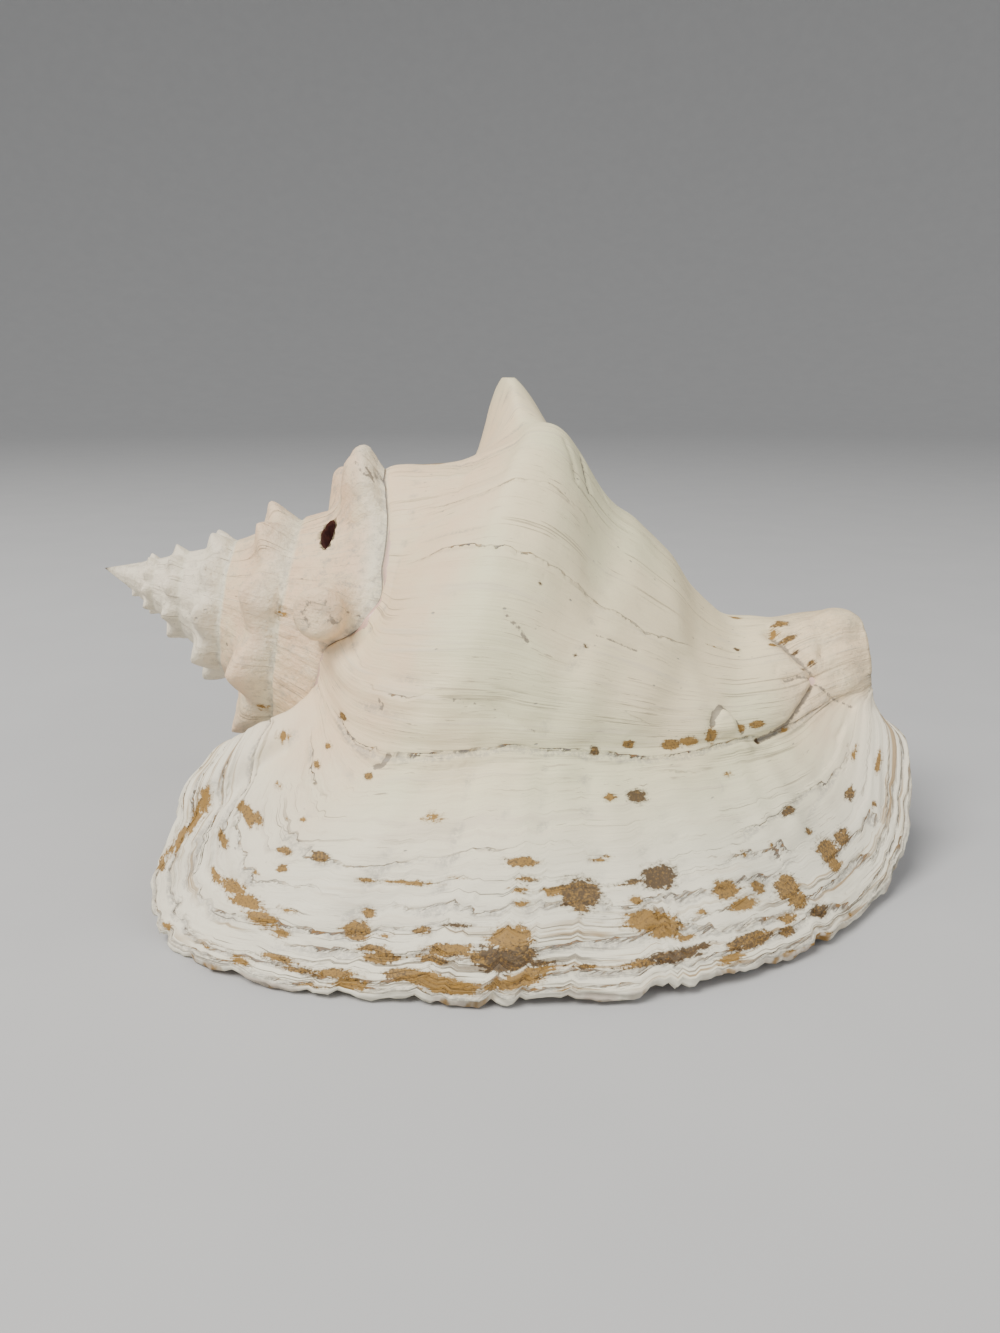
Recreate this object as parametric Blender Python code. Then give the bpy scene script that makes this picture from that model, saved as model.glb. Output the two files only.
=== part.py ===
"""A large spined sea snail shell, lying on its aperture, grown as one closed body.

The shell is a coil of whorls along a tilted axis.  A generating curve with
stations t from the suture (0) to the end of the canal (1) turns about the axis by
the growth angle theta, in degrees; theta 0 is the top of the last whorl and the
curve grows by WHORL_RATIO in a turn.  Angles run from the top of the shell to the
front, under the shell and up its back.  Millimetres and degrees inside, metres out.
"""
import math

import bmesh
import bpy
import numpy as np

# the coil
AXIS_TILT = 15.0
APEX = (-125.5, 0.0, 82.5)
APEX_ANGLE = -2010.0
LIP_ANGLE = 150.0
CANAL_END = 240.0

# growth of the whorls: theta, distance along the axis, radius
GROWTH = (
    (-2520.0, 0.058, 0.039),
    (-2160.0, 0.089, 0.063),
    (-1800.0, 0.137, 0.101),
    (-1440.0, 0.212, 0.162),
    (-1080.0, 0.325, 0.258),
    (-720.0, 0.480, 0.408),
    (-360.0, 0.690, 0.640),
    (-300.0, 0.735, 0.680),
    (-240.0, 0.783, 0.715),
    (-180.0, 0.832, 0.750),
    (-150.0, 0.857, 0.770),
    (-90.0, 0.912, 0.860),
    (-40.0, 0.965, 0.960),
    (0.0, 1.0, 1.0),
    (50.0, 0.965, 0.985),
    (90.0, 0.94, 0.985),
    (150.0, 0.94, 0.985),
)

# stations of the generating curve at theta 0: t, distance along the axis, radius
PROFILE = (
    (0.000, 82.0, 48.5),
    (0.090, 93.0, 55.5),
    (0.150, 101.5, 61.5),
    (0.210, 109.0, 68.0),
    (0.270, 115.0, 72.5),
    (0.330, 120.0, 75.0),
    (0.369, 127.0, 76.0),
    (0.425, 137.0, 73.0),
    (0.481, 147.0, 64.5),
    (0.565, 162.0, 58.0),
    (0.643, 176.0, 51.0),
    (0.704, 187.0, 41.0),
    (0.777, 200.0, 29.0),
    (0.833, 210.0, 24.0),
    (0.905, 223.0, 19.0),
    (0.956, 232.0, 17.0),
    (1.000, 240.0, 16.0),
)
SHOULDER = 120.0

# the canal bends away from the aperture
BEND_START = 170.0
BEND_LENGTH = 80.0
BEND_RISE = 38.0

# the far edge of the canal turns away from the lip and leaves a slit
SLIT_ANGLE = 50.0
SLIT_START_T = 0.55

# the rim of the canal is cut back at the top and stands out at the front
CANAL_RIM = (
    (-210.0, 4.0),
    (-150.0, 2.0),
    (-60.0, -6.0),
    (0.0, -10.0),
    (40.0, -5.0),
    (90.0, 3.0),
    (150.0, 6.0),
)

# the lip
# points on the edge of the lip and on the old edge that it grew from,
# each as t, x, y, z
LIP_EDGE = (
    (0.000, -64.0, -20.5, 29.5),
    (0.015, -68.0, -31.0, 34.0),
    (0.030, -75.0, -42.0, 40.5),
    (0.066, -85.0, -56.0, 35.5),
    (0.105, -89.0, -65.0, 24.0),
    (0.145, -93.0, -73.0, 14.0),
    (0.180, -92.0, -77.0, 6.5),
    (0.215, -88.5, -82.0, 0.3),
    (0.270, -70.5, -97.0, 0.0),
    (0.330, -50.5, -104.5, 0.0),
    (0.370, -37.0, -106.5, 0.0),
    (0.450, -10.5, -110.0, 0.0),
    (0.520, 4.5, -111.0, 0.0),
    (0.580, 23.5, -109.5, 0.0),
    (0.640, 40.5, -107.0, 0.0),
    (0.700, 58.5, -101.0, 0.0),
    (0.760, 75.5, -91.5, 0.0),
    (0.810, 92.0, -79.0, 0.0),
    (0.850, 105.5, -64.5, 0.5),
    (0.890, 116.0, -52.0, 6.5),
    (0.920, 121.5, -41.0, 17.5),
    (0.945, 125.0, -29.0, 33.5),
    (0.960, 122.5, -24.0, 37.0),
    (0.980, 120.0, -18.0, 38.5),
    (1.000, 117.5, -14.0, 43.0),
)
OLD_EDGE = (
    (0.00, -50.5, -47.0, 60.0),
    (0.04, -49.0, -50.0, 57.5),
    (0.09, -46.5, -55.0, 55.0),
    (0.15, -42.0, -61.0, 52.5),
    (0.20, -36.5, -66.0, 51.5),
    (0.27, -27.5, -71.0, 50.5),
    (0.33, -18.0, -74.0, 50.5),
    (0.45, 0.0, -74.5, 50.5),
    (0.58, 21.0, -70.5, 48.5),
    (0.70, 43.0, -62.0, 45.5),
    (0.80, 66.0, -50.0, 43.5),
    (0.88, 84.5, -38.0, 43.0),
    (0.94, 97.0, -27.0, 46.0),
    (0.97, 106.5, -20.0, 48.0),
    (1.00, 116.0, -15.5, 49.5),
)
OLD_EDGE_ANGLE = 90.0
FLARE_START = 30.0
LIP_SAG = 0.0

# spines
# theta, station, height, half-width in degrees, half-width in t, lean towards the apex
SPINES = (
    (11.0, 0.35, 4.0, 16.0, 0.050, 0.00),
    (-28.0, 0.31, 27.0, 12.0, 0.065, 0.30),
    (-70.0, 0.33, 24.0, 12.0, 0.055, 0.30),
    (-108.0, 0.33, 19.0, 12.0, 0.055, 0.25),
    (-142.0, 0.33, 15.5, 12.0, 0.055, 0.15),
    (-196.0, 0.30, 4.0, 13.0, 0.055, 0.30),
    (-245.0, 0.23, 8.0, 10.5, 0.055, 0.60),
    (-290.0, 0.19, 11.0, 9.0, 0.045, 0.50),
    (-347.0, 0.25, 14.5, 14.0, 0.075, 0.55),
    (-387.0, 0.18, 12.0, 11.0, 0.050, 0.70),
)
SPINE_BLUNT = 1.2
SPINE_POINT = 0.35
SPINE_POINT_BEFORE = -400.0
SPIRE_SPINE_FIRST = -425.0
SPIRE_SPINE_STEP = 37.5
SPIRE_SPINE_T = 0.21
SPIRE_SPINE_HEIGHT = 16.0
SPIRE_SPINE_WIDTH = 13.0
SPIRE_SPINE_BAND = 0.065
SPIRE_SPINE_LEAN = 0.90

# the slot
# an old hole that was cut into the spire, and how it lies
SLOT_THETA = -328.0
SLOT_T = 0.115
SLOT_LENGTH = 12.5
SLOT_WIDTH = 4.2
SLOT_DEPTH = 11.0
SLOT_SIDES = 12

# walls
WALL = 3.6
LIP_WALL = 3.0
CALLUS = 0.9
CANAL_FLOOR_T = 0.93
FLOOR_SINK = 0.55
FLOOR_SINK_T = 0.40

# mesh
COLUMNS = 56
SPIRE_ROWS = (0.0, 0.03, 0.07, 0.145, 0.21, 0.27, 0.33)
BODY_ROWS = (
    0.37, 0.41, 0.45, 0.49, 0.54, 0.59, 0.64, 0.69, 0.74,
    0.79, 0.83, 0.87, 0.90, 0.93, 0.955, 0.98, 1.0,
)
WELD_T = 0.2

TILT = math.radians(AXIS_TILT)
AXIS = np.array((math.cos(TILT), 0.0, -math.sin(TILT)))
UP = np.array((math.sin(TILT), 0.0, math.cos(TILT)))
FRONT = np.array((0.0, -1.0, 0.0))
ORIGIN = np.array(APEX)


def clear_objects():
    for obj in list(bpy.data.objects):
        bpy.data.objects.remove(obj, do_unlink=True)


def smooth(x):
    x = np.clip(x, 0.0, 1.0)
    return x * x * (3.0 - 2.0 * x)


def spline(x, knots, values):
    """Smooth curve through values at knots; values may have any trailing shape."""
    knots = np.asarray(knots, float)
    values = np.asarray(values, float)
    x = np.asarray(x, float)
    tail = (1,) * (values.ndim - 1)
    step = np.diff(knots)
    wide = step.reshape(-1, *tail)
    slope = np.diff(values, axis=0) / wide
    tangent = np.empty_like(values)
    tangent[0] = slope[0]
    tangent[-1] = slope[-1]
    tangent[1:-1] = (slope[:-1] * wide[1:] + slope[1:] * wide[:-1]) / (wide[1:] + wide[:-1])
    k = np.clip(np.searchsorted(knots, x, side="right") - 1, 0, len(knots) - 2)
    length = step[k]
    f = np.clip((x - knots[k]) / length, 0.0, 1.0)
    f = np.reshape(f, np.shape(f) + tail)
    length = np.reshape(length, np.shape(length) + tail)
    a = 2.0 * f ** 3 - 3.0 * f ** 2 + 1.0
    b = f ** 3 - 2.0 * f ** 2 + f
    c = -2.0 * f ** 3 + 3.0 * f ** 2
    d = f ** 3 - f ** 2
    return a * values[k] + b * length * tangent[k] + c * values[k + 1] + d * length * tangent[k + 1]


def bend(a):
    return BEND_RISE * smooth((a - BEND_START) / BEND_LENGTH)


def frame_point(a, u, v):
    return ORIGIN + a[..., None] * AXIS + u[..., None] * UP + v[..., None] * FRONT


def growth(theta):
    """Scale of the whorl along the axis and across it."""
    table = np.array(GROWTH)
    at = np.clip(theta, table[0, 0], table[-1, 0])
    return np.exp(spline(at, table[:, 0], np.log(table[:, 1:])))


def coil(theta, t):
    """Distance along the axis and radius of the regular coil at paired theta and t."""
    profile = np.array(PROFILE)
    rim = np.array(CANAL_RIM)
    base = spline(t, profile[:, 0], profile[:, 1:])
    k = growth(theta)
    f = np.clip((base[..., 0] - SHOULDER) / (CANAL_END - SHOULDER), 0.0, 1.0)
    end = CANAL_END + spline(np.clip(theta, rim[0, 0], rim[-1, 0]), rim[:, 0], rim[:, 1])
    start = k[..., 0] * SHOULDER
    a = np.where(f > 0.0, start + (end - start) * f, k[..., 0] * base[..., 0])
    r = base[..., 1] * k[..., 1] ** (1.0 - 0.3 * f)
    return a, r


def spines(theta, t):
    """Height and lean of the spines at paired theta and t."""
    rows = list(SPINES)
    at = SPIRE_SPINE_FIRST
    while at > APEX_ANGLE:
        height = SPIRE_SPINE_HEIGHT * float(growth(np.array(at))[1])
        rows.append((at, SPIRE_SPINE_T, height, SPIRE_SPINE_WIDTH, SPIRE_SPINE_BAND, SPIRE_SPINE_LEAN))
        at -= SPIRE_SPINE_STEP
    out = np.zeros_like(theta)
    lean = np.zeros_like(theta)
    for at, station, height, wide, band, tip in rows:
        d = ((theta - at) / wide) ** 2 + ((t - station) / band) ** 2
        lump = np.tanh(SPINE_BLUNT * np.exp(-0.9 * d)) / np.tanh(SPINE_BLUNT)
        if at < SPINE_POINT_BEFORE:
            cone = np.exp(-1.9 * (np.sqrt(d + 0.02) - 0.141))
            lump = lump + (cone - lump) * SPINE_POINT
        lump = lump * height
        out += lump
        lean += tip * lump
    return out, lean


def law(theta, t):
    a, r = coil(theta, t)
    out, lean = spines(theta, t)
    a = a - lean
    r = r + out
    turn = smooth((t - SLIT_START_T) / (1.0 - SLIT_START_T)) * (1.0 - smooth((theta + 210.0) / 200.0))
    turn = turn * smooth((theta + 280.0) / 70.0)
    angle = np.radians(theta + SLIT_ANGLE * turn)
    return frame_point(a, r * np.cos(angle) + bend(a), r * np.sin(angle))


def edge(points, t):
    table = np.array(points)
    return spline(t, table[:, 0], table[:, 1:])


def outer(theta, t):
    """Outer surface, before the whorls are joined at the suture."""
    theta = np.asarray(theta, float)
    t = np.asarray(t, float)
    out = law(theta, t)
    old = edge(OLD_EDGE, t)
    lip = edge(LIP_EDGE, t)
    at_old = np.full_like(theta, OLD_EDGE_ANGLE)
    gain = old - law(at_old, t)
    span = OLD_EDGE_ANGLE - FLARE_START

    def grown(angle):
        f = np.clip((angle - FLARE_START) / span, 0.0, 1.0)
        w = smooth(f)
        return law(angle, t) + gain * w[..., None]

    before = grown(at_old - 15.0)
    middle = 0.5 * (old + lip)
    sag = np.sin(np.pi * np.clip((t - 0.05) / 0.9, 0.0, 1.0))
    middle = middle + sag[..., None] * LIP_SAG * np.array((0.0, 0.45, -0.9))
    knots = (OLD_EDGE_ANGLE - 15.0, OLD_EDGE_ANGLE, 120.0, LIP_ANGLE)
    share = spline(np.clip(theta, knots[0], knots[-1]), knots, np.eye(4))
    sheet = np.zeros_like(out)
    for k, row in enumerate((before, old, middle, lip)):
        sheet = sheet + share[..., k, None] * row
    near = grown(theta)
    return np.where((theta <= OLD_EDGE_ANGLE)[..., None], near, sheet)


def suture_row(theta):
    """The station of a whorl that the next whorl is joined to."""
    at = (-310.0, -293.0, -284.0, -276.0, -265.0, -250.0, -236.0, -210.0, -165.0, -120.0)
    value = (0.33, 0.32, 0.25, 0.17, 0.15, 0.12, 0.09, 0.07, 0.18, 0.33)
    return spline(np.clip(theta, -310.0, -120.0), at, np.array(value))


def build_grid():
    """Columns of theta, rows of t, and the joined outer points."""
    step = 360.0 / COLUMNS
    count = int(round((LIP_ANGLE - APEX_ANGLE) / step))
    theta = LIP_ANGLE - step * np.arange(count, -1, -1)
    joins = len(SPIRE_ROWS) - 1
    upper = np.array(SPIRE_ROWS) / SPIRE_ROWS[-1]
    lower = (np.array(BODY_ROWS) - SPIRE_ROWS[-1]) / (1.0 - SPIRE_ROWS[-1])
    tv = suture_row(theta)
    t = np.empty((count + 1, joins + 1 + len(lower)))
    t[:, :joins + 1] = tv[:, None] * upper[None, :]
    t[:, joins + 1:] = tv[:, None] + (1.0 - tv[:, None]) * lower[None, :]
    grid = np.repeat(theta[:, None], t.shape[1], 1)
    points = outer(grid, t)
    for i in range(COLUMNS, count + 1):
        gap = points[i - COLUMNS, joins] - points[i, 0]
        w = smooth(1.0 - t[i] / WELD_T)
        points[i] = points[i] + gap * w[:, None]
    return theta, t, points, joins


def normals(points):
    """Outward unit normals of a grid of points."""
    along = np.gradient(points, axis=0)
    across = np.gradient(points, axis=1)
    n = np.cross(along, across)
    return n / (np.linalg.norm(n, axis=-1, keepdims=True) + 1e-12)


def zip_strip(a, b, pa, pb):
    """Triangles between two rows of points whose places along the strip are pa and pb."""
    out = []
    i = 0
    j = 0
    while i < len(a) - 1 or j < len(b) - 1:
        if j == len(b) - 1 or (i < len(a) - 1 and pa[i + 1] <= pb[j + 1]):
            out.append((a[i], a[i + 1], b[j]))
            i += 1
        else:
            out.append((a[i], b[j + 1], b[j]))
            j += 1
    return out


def build_faces(theta, t, points, joins):
    last = len(theta) - 1
    rows = t.shape[1] - 1
    first = last - COLUMNS
    deep = last - COLUMNS // 2
    step = 360.0 / COLUMNS
    floor_row = int(np.argmin(np.abs(np.array(SPIRE_ROWS + BODY_ROWS) - CANAL_FLOOR_T)))
    verts = []
    faces = []
    index = {}

    def add(key, point):
        index[key] = len(verts)
        verts.append(tuple(float(c) for c in point))

    def v(i, j):
        if i < first and j > joins:
            raise ValueError("a covered point")
        if j == 0 and i >= COLUMNS:
            return v(i - COLUMNS, joins)
        key = ("v", i, j)
        if key not in index:
            add(key, points[i, j])
        return index[key]

    n = normals(points)
    if np.dot(n[last - 20, 8], points[last - 20, 8] - (ORIGIN + 120.0 * AXIS)) < 0.0:
        n = -n

    def w(i, j):
        if j == 0:
            return f(i, joins + 1)
        key = ("w", i, j)
        if key not in index:
            thick = WALL + (LIP_WALL - WALL) * smooth((theta[i] - OLD_EDGE_ANGLE) / 60.0)
            thick = thick * (0.55 + 0.45 * smooth((1.0 - t[i, j]) / 0.15))
            add(key, points[i, j] - n[i, j] * thick)
        return index[key]

    def f(i, j):
        key = ("f", i, j)
        if key not in index:
            p = i - COLUMNS
            sink = FLOOR_SINK * smooth((t[p, j] - FLOOR_SINK_T) / (CANAL_FLOOR_T - FLOOR_SINK_T))
            sink = sink * smooth((last - i) * step / 60.0)
            base = points[p, j]
            local = base - ORIGIN
            a = local @ AXIS
            centre = ORIGIN + a * AXIS + bend(np.array(a)) * UP
            base = base + (centre - base) * sink
            add(key, base + n[p, j] * CALLUS)
        return index[key]

    def quad(*corners):
        ring = []
        for k in corners:
            if k not in ring:
                ring.append(k)
        if len(ring) > 2:
            faces.append(tuple(ring))

    # outside: the spire, then the last turn
    for i in range(0, first):
        for j in range(joins):
            quad(v(i, j), v(i + 1, j), v(i + 1, j + 1), v(i, j + 1))
    for i in range(first, last):
        for j in range(rows):
            quad(v(i, j), v(i + 1, j), v(i + 1, j + 1), v(i, j + 1))

    # the tip of the spire
    ring = [v(i, 0) for i in range(COLUMNS)] + [v(0, j) for j in range(joins, 0, -1)]
    tip = ORIGIN
    add("tip", tip)
    for k in range(len(ring)):
        faces.append((ring[(k + 1) % len(ring)], ring[k], index["tip"]))

    # the rim of the aperture
    for j in range(rows):
        quad(v(last, j), w(last, j), w(last, j + 1), v(last, j + 1))
    for i in range(first, last):
        quad(v(i, rows), v(i + 1, rows), w(i + 1, rows), w(i, rows))
    for j in range(floor_row, rows):
        quad(v(first, j), v(first, j + 1), w(first, j + 1), w(first, j))
    for j in range(joins + 1, floor_row):
        quad(v(first, j), v(first, j + 1), f(last, j + 1), f(last, j))
    faces.append((v(first, joins), v(first, joins + 1), f(last, joins + 1)))
    faces.append((v(first, floor_row), w(first, floor_row), f(last, floor_row)))

    # inside: the roof, the wall of the canal and the floor
    for i in range(deep, last):
        for j in range(rows):
            quad(w(i, j), w(i, j + 1), w(i + 1, j + 1), w(i + 1, j))
    for i in range(first, deep):
        for j in range(floor_row, rows):
            quad(w(i, j), w(i, j + 1), w(i + 1, j + 1), w(i + 1, j))
    for i in range(deep, last):
        for j in range(joins + 1, floor_row):
            quad(f(i, j), f(i + 1, j), f(i + 1, j + 1), f(i, j + 1))

    # the end of the pillar in the canal
    for s in range(COLUMNS // 2):
        a, b = deep - s, deep - s - 1
        c, d = deep + s, deep + s + 1
        quad(w(a, floor_row), w(b, floor_row), f(d, floor_row), f(c, floor_row))

    # the deep end of the hollow
    above = [w(deep, j) for j in range(floor_row + 1)]
    below = [f(deep, j) for j in range(joins + 1, floor_row + 1)]
    above_at = np.linspace(0.0, 1.0, len(above))
    below_at = np.linspace(0.0, 1.0, len(below))
    for ring in zip_strip(above, below, above_at, below_at):
        quad(*ring)
    return verts, faces


def slot_cutter(shift):
    """A pointed plug that follows the whorl and reaches SLOT_DEPTH into it."""
    here = np.array([SLOT_THETA, SLOT_THETA + 1.0, SLOT_THETA])
    at = np.array([SLOT_T, SLOT_T, SLOT_T + 0.01])
    p, q, s = outer(here, at)
    along = (q - p) / np.linalg.norm(q - p)
    across = s - p
    across = across - along * (across @ along)
    across = across / np.linalg.norm(across)
    out = np.cross(along, across)
    if out @ (p - (ORIGIN + 69.0 * AXIS)) < 0.0:
        out = -out
    bm = bmesh.new()
    rings = []
    for depth, size in ((-SLOT_DEPTH, 0.45), (-SLOT_DEPTH * 0.45, 0.85), (0.0, 1.0), (7.0, 1.05)):
        ring = []
        for k in range(SLOT_SIDES):
            turn = 2.0 * math.pi * k / SLOT_SIDES
            x = 0.5 * SLOT_LENGTH * size * math.cos(turn)
            y = 0.5 * SLOT_WIDTH * size * math.sin(turn) * (1.15 - 0.35 * math.cos(turn))
            c = p + along * x + across * y + out * depth
            ring.append(bm.verts.new([n * 0.001 for n in (c + shift)]))
        rings.append(ring)
    for low, high in zip(rings[:-1], rings[1:]):
        for k in range(SLOT_SIDES):
            n = (k + 1) % SLOT_SIDES
            bm.faces.new((low[k], low[n], high[n], high[k]))
    bm.faces.new(rings[0])
    bm.faces.new(rings[-1])
    bmesh.ops.recalc_face_normals(bm, faces=bm.faces)
    if bm.calc_volume(signed=True) < 0.0:
        bmesh.ops.reverse_faces(bm, faces=bm.faces)
    mesh = bpy.data.meshes.new("slot_cutter")
    bm.to_mesh(mesh)
    bm.free()
    obj = bpy.data.objects.new("slot_cutter", mesh)
    bpy.context.scene.collection.objects.link(obj)
    obj.hide_render = True
    obj.display_type = "WIRE"
    return obj


def make_material():
    mat = bpy.data.materials.new("shell")
    mat.use_nodes = True
    bsdf = mat.node_tree.nodes["Principled BSDF"]
    bsdf.inputs["Base Color"].default_value = (0.80, 0.74, 0.66, 1.0)
    bsdf.inputs["Roughness"].default_value = 0.6
    return mat


def main():
    clear_objects()
    theta, t, points, joins = build_grid()
    verts, faces = build_faces(theta, t, points, joins)
    bm = bmesh.new()
    made = [bm.verts.new([c * 0.001 for c in p]) for p in verts]
    for ring in faces:
        bm.faces.new([made[k] for k in ring])
    bmesh.ops.recalc_face_normals(bm, faces=bm.faces)
    if bm.calc_volume(signed=True) < 0.0:
        bmesh.ops.reverse_faces(bm, faces=bm.faces)
    low = [min(p.co[k] for p in bm.verts) for k in range(3)]
    high = [max(p.co[k] for p in bm.verts) for k in range(3)]
    shift = (-(low[0] + high[0]) / 2.0, -(low[1] + high[1]) / 2.0, -low[2])
    bmesh.ops.translate(bm, vec=shift, verts=bm.verts)
    mesh = bpy.data.meshes.new("shell")
    bm.to_mesh(mesh)
    bm.free()
    for poly in mesh.polygons:
        poly.use_smooth = True
    mesh.set_sharp_from_angle(angle=math.radians(50.0))
    mesh.materials.append(make_material())
    obj = bpy.data.objects.new("shell", mesh)
    bpy.context.scene.collection.objects.link(obj)
    cutter = slot_cutter(np.array(shift) * 1000.0)
    cut = obj.modifiers.new("slot", "BOOLEAN")
    cut.operation = "DIFFERENCE"
    cut.solver = "EXACT"
    cut.object = cutter
    print("shell", [round((high[k] - low[k]) * 1000.0, 2) for k in range(3)])
    print("shift", [round(s * 1000.0, 3) for s in shift])


main()
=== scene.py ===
"""The dressed shell: a fine mesh of the same coil as the solid, with its growth
lines, flaking lip, stains and glossy inside, on a pale floor in soft light.

Millimetres and degrees inside, metres out.  Angles run from the top of the shell to
the front, under the shell and up its back; theta 0 is the top of the last whorl.
"""

import math

import bmesh
import bpy
import numpy as np
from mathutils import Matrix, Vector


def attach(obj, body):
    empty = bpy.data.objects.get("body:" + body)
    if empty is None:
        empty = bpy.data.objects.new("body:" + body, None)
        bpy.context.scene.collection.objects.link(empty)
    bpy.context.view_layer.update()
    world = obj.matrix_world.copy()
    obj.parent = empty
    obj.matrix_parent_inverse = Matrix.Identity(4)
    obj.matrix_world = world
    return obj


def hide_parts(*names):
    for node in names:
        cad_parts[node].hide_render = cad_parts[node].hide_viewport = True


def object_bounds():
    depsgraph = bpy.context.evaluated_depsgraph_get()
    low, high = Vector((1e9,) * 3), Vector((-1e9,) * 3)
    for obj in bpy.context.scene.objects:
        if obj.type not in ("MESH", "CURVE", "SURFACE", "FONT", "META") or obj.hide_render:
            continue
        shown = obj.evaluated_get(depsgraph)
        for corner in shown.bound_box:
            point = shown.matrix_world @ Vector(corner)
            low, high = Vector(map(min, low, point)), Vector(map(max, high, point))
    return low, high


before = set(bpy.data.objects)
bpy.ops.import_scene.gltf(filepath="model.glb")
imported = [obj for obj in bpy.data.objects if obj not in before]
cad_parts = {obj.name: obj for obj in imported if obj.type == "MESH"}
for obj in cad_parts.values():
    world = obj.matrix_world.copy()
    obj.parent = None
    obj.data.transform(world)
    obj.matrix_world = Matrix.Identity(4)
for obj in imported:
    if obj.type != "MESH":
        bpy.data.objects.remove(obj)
CAD_LOW, CAD_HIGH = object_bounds()

# the solid's own footprint puts its origin here, in millimetres
SHIFT = np.array((1.035, 12.461, 2.464))

# the photo's size and focal length in its own pixels; where its camera stands in the
# shell's millimetres and how far it looks down
PHOTO_SIZE = (1000.0, 1333.0)
PHOTO_FOCAL = 1001.0
CAMERA_AT = np.array((0.0, -314.0, 140.0))
CAMERA_DOWN = math.radians(16.0)

# the coil
AXIS_TILT = 15.0
APEX = (-125.5, 0.0, 82.5)
APEX_ANGLE = -2010.0
LIP_ANGLE = 150.0
CANAL_END = 240.0

# growth of the whorls: theta, distance along the axis, radius
GROWTH = (
    (-2520.0, 0.058, 0.039),
    (-2160.0, 0.089, 0.063),
    (-1800.0, 0.137, 0.101),
    (-1440.0, 0.212, 0.162),
    (-1080.0, 0.325, 0.258),
    (-720.0, 0.480, 0.408),
    (-360.0, 0.690, 0.640),
    (-300.0, 0.735, 0.680),
    (-240.0, 0.783, 0.715),
    (-180.0, 0.832, 0.750),
    (-150.0, 0.857, 0.770),
    (-90.0, 0.912, 0.860),
    (-40.0, 0.965, 0.960),
    (0.0, 1.0, 1.0),
    (50.0, 0.965, 0.985),
    (90.0, 0.94, 0.985),
    (150.0, 0.94, 0.985),
)

# stations of the generating curve at theta 0: t, distance along the axis, radius
PROFILE = (
    (0.000, 82.0, 48.5),
    (0.090, 93.0, 55.5),
    (0.150, 101.5, 61.5),
    (0.210, 109.0, 68.0),
    (0.270, 115.0, 72.5),
    (0.330, 120.0, 75.0),
    (0.369, 127.0, 76.0),
    (0.425, 137.0, 73.0),
    (0.481, 147.0, 64.5),
    (0.565, 162.0, 58.0),
    (0.643, 176.0, 51.0),
    (0.704, 187.0, 41.0),
    (0.777, 200.0, 29.0),
    (0.833, 210.0, 24.0),
    (0.905, 223.0, 19.0),
    (0.956, 232.0, 17.0),
    (1.000, 240.0, 16.0),
)
SHOULDER = 120.0

# the canal bends away from the aperture
BEND_START = 170.0
BEND_LENGTH = 80.0
BEND_RISE = 38.0

# the far edge of the canal turns away from the lip and leaves a slit
SLIT_ANGLE = 50.0
SLIT_START_T = 0.55
SLIT_OPENS_AT = -280.0
SLIT_OPENS_OVER = 70.0
SLIT_CLOSES_AT = -210.0
SLIT_CLOSES_OVER = 200.0

# the rim of the canal is cut back at the top and stands out at the front
CANAL_RIM = (
    (-210.0, 4.0),
    (-150.0, 2.0),
    (-60.0, -6.0),
    (0.0, -10.0),
    (40.0, -5.0),
    (90.0, 3.0),
    (150.0, 6.0),
)

# points on the edge of the lip and on the old edge that it grew from,
# each as t, x, y, z
LIP_EDGE = (
    (0.000, -64.0, -20.5, 29.5),
    (0.015, -68.0, -31.0, 34.0),
    (0.030, -75.0, -42.0, 40.5),
    (0.066, -85.0, -56.0, 35.5),
    (0.105, -89.0, -65.0, 24.0),
    (0.145, -93.0, -73.0, 14.0),
    (0.180, -92.0, -77.0, 6.5),
    (0.215, -88.5, -82.0, 0.3),
    (0.270, -70.5, -97.0, 0.0),
    (0.330, -50.5, -104.5, 0.0),
    (0.370, -37.0, -106.5, 0.0),
    (0.450, -10.5, -110.0, 0.0),
    (0.520, 4.5, -111.0, 0.0),
    (0.580, 23.5, -109.5, 0.0),
    (0.640, 40.5, -107.0, 0.0),
    (0.700, 58.5, -101.0, 0.0),
    (0.760, 75.5, -91.5, 0.0),
    (0.810, 92.0, -79.0, 0.0),
    (0.850, 105.5, -64.5, 0.5),
    (0.890, 116.0, -52.0, 6.5),
    (0.920, 121.5, -41.0, 17.5),
    (0.945, 125.0, -29.0, 33.5),
    (0.960, 122.5, -24.0, 37.0),
    (0.980, 120.0, -18.0, 38.5),
    (1.000, 117.5, -14.0, 43.0),
)
OLD_EDGE = (
    (0.00, -50.5, -47.0, 60.0),
    (0.04, -49.0, -50.0, 57.5),
    (0.09, -46.5, -55.0, 55.0),
    (0.15, -42.0, -61.0, 52.5),
    (0.20, -36.5, -66.0, 51.5),
    (0.27, -27.5, -71.0, 50.5),
    (0.33, -18.0, -74.0, 50.5),
    (0.45, 0.0, -74.5, 50.5),
    (0.58, 21.0, -70.5, 48.5),
    (0.70, 43.0, -62.0, 45.5),
    (0.80, 66.0, -50.0, 43.5),
    (0.88, 84.5, -38.0, 43.0),
    (0.94, 97.0, -27.0, 46.0),
    (0.97, 106.5, -20.0, 48.0),
    (1.00, 116.0, -15.5, 49.5),
)
OLD_EDGE_ANGLE = 90.0
FLARE_START = 30.0
FLARE_STEP = 15.0
FLARE_MIDDLE = 120.0

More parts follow.
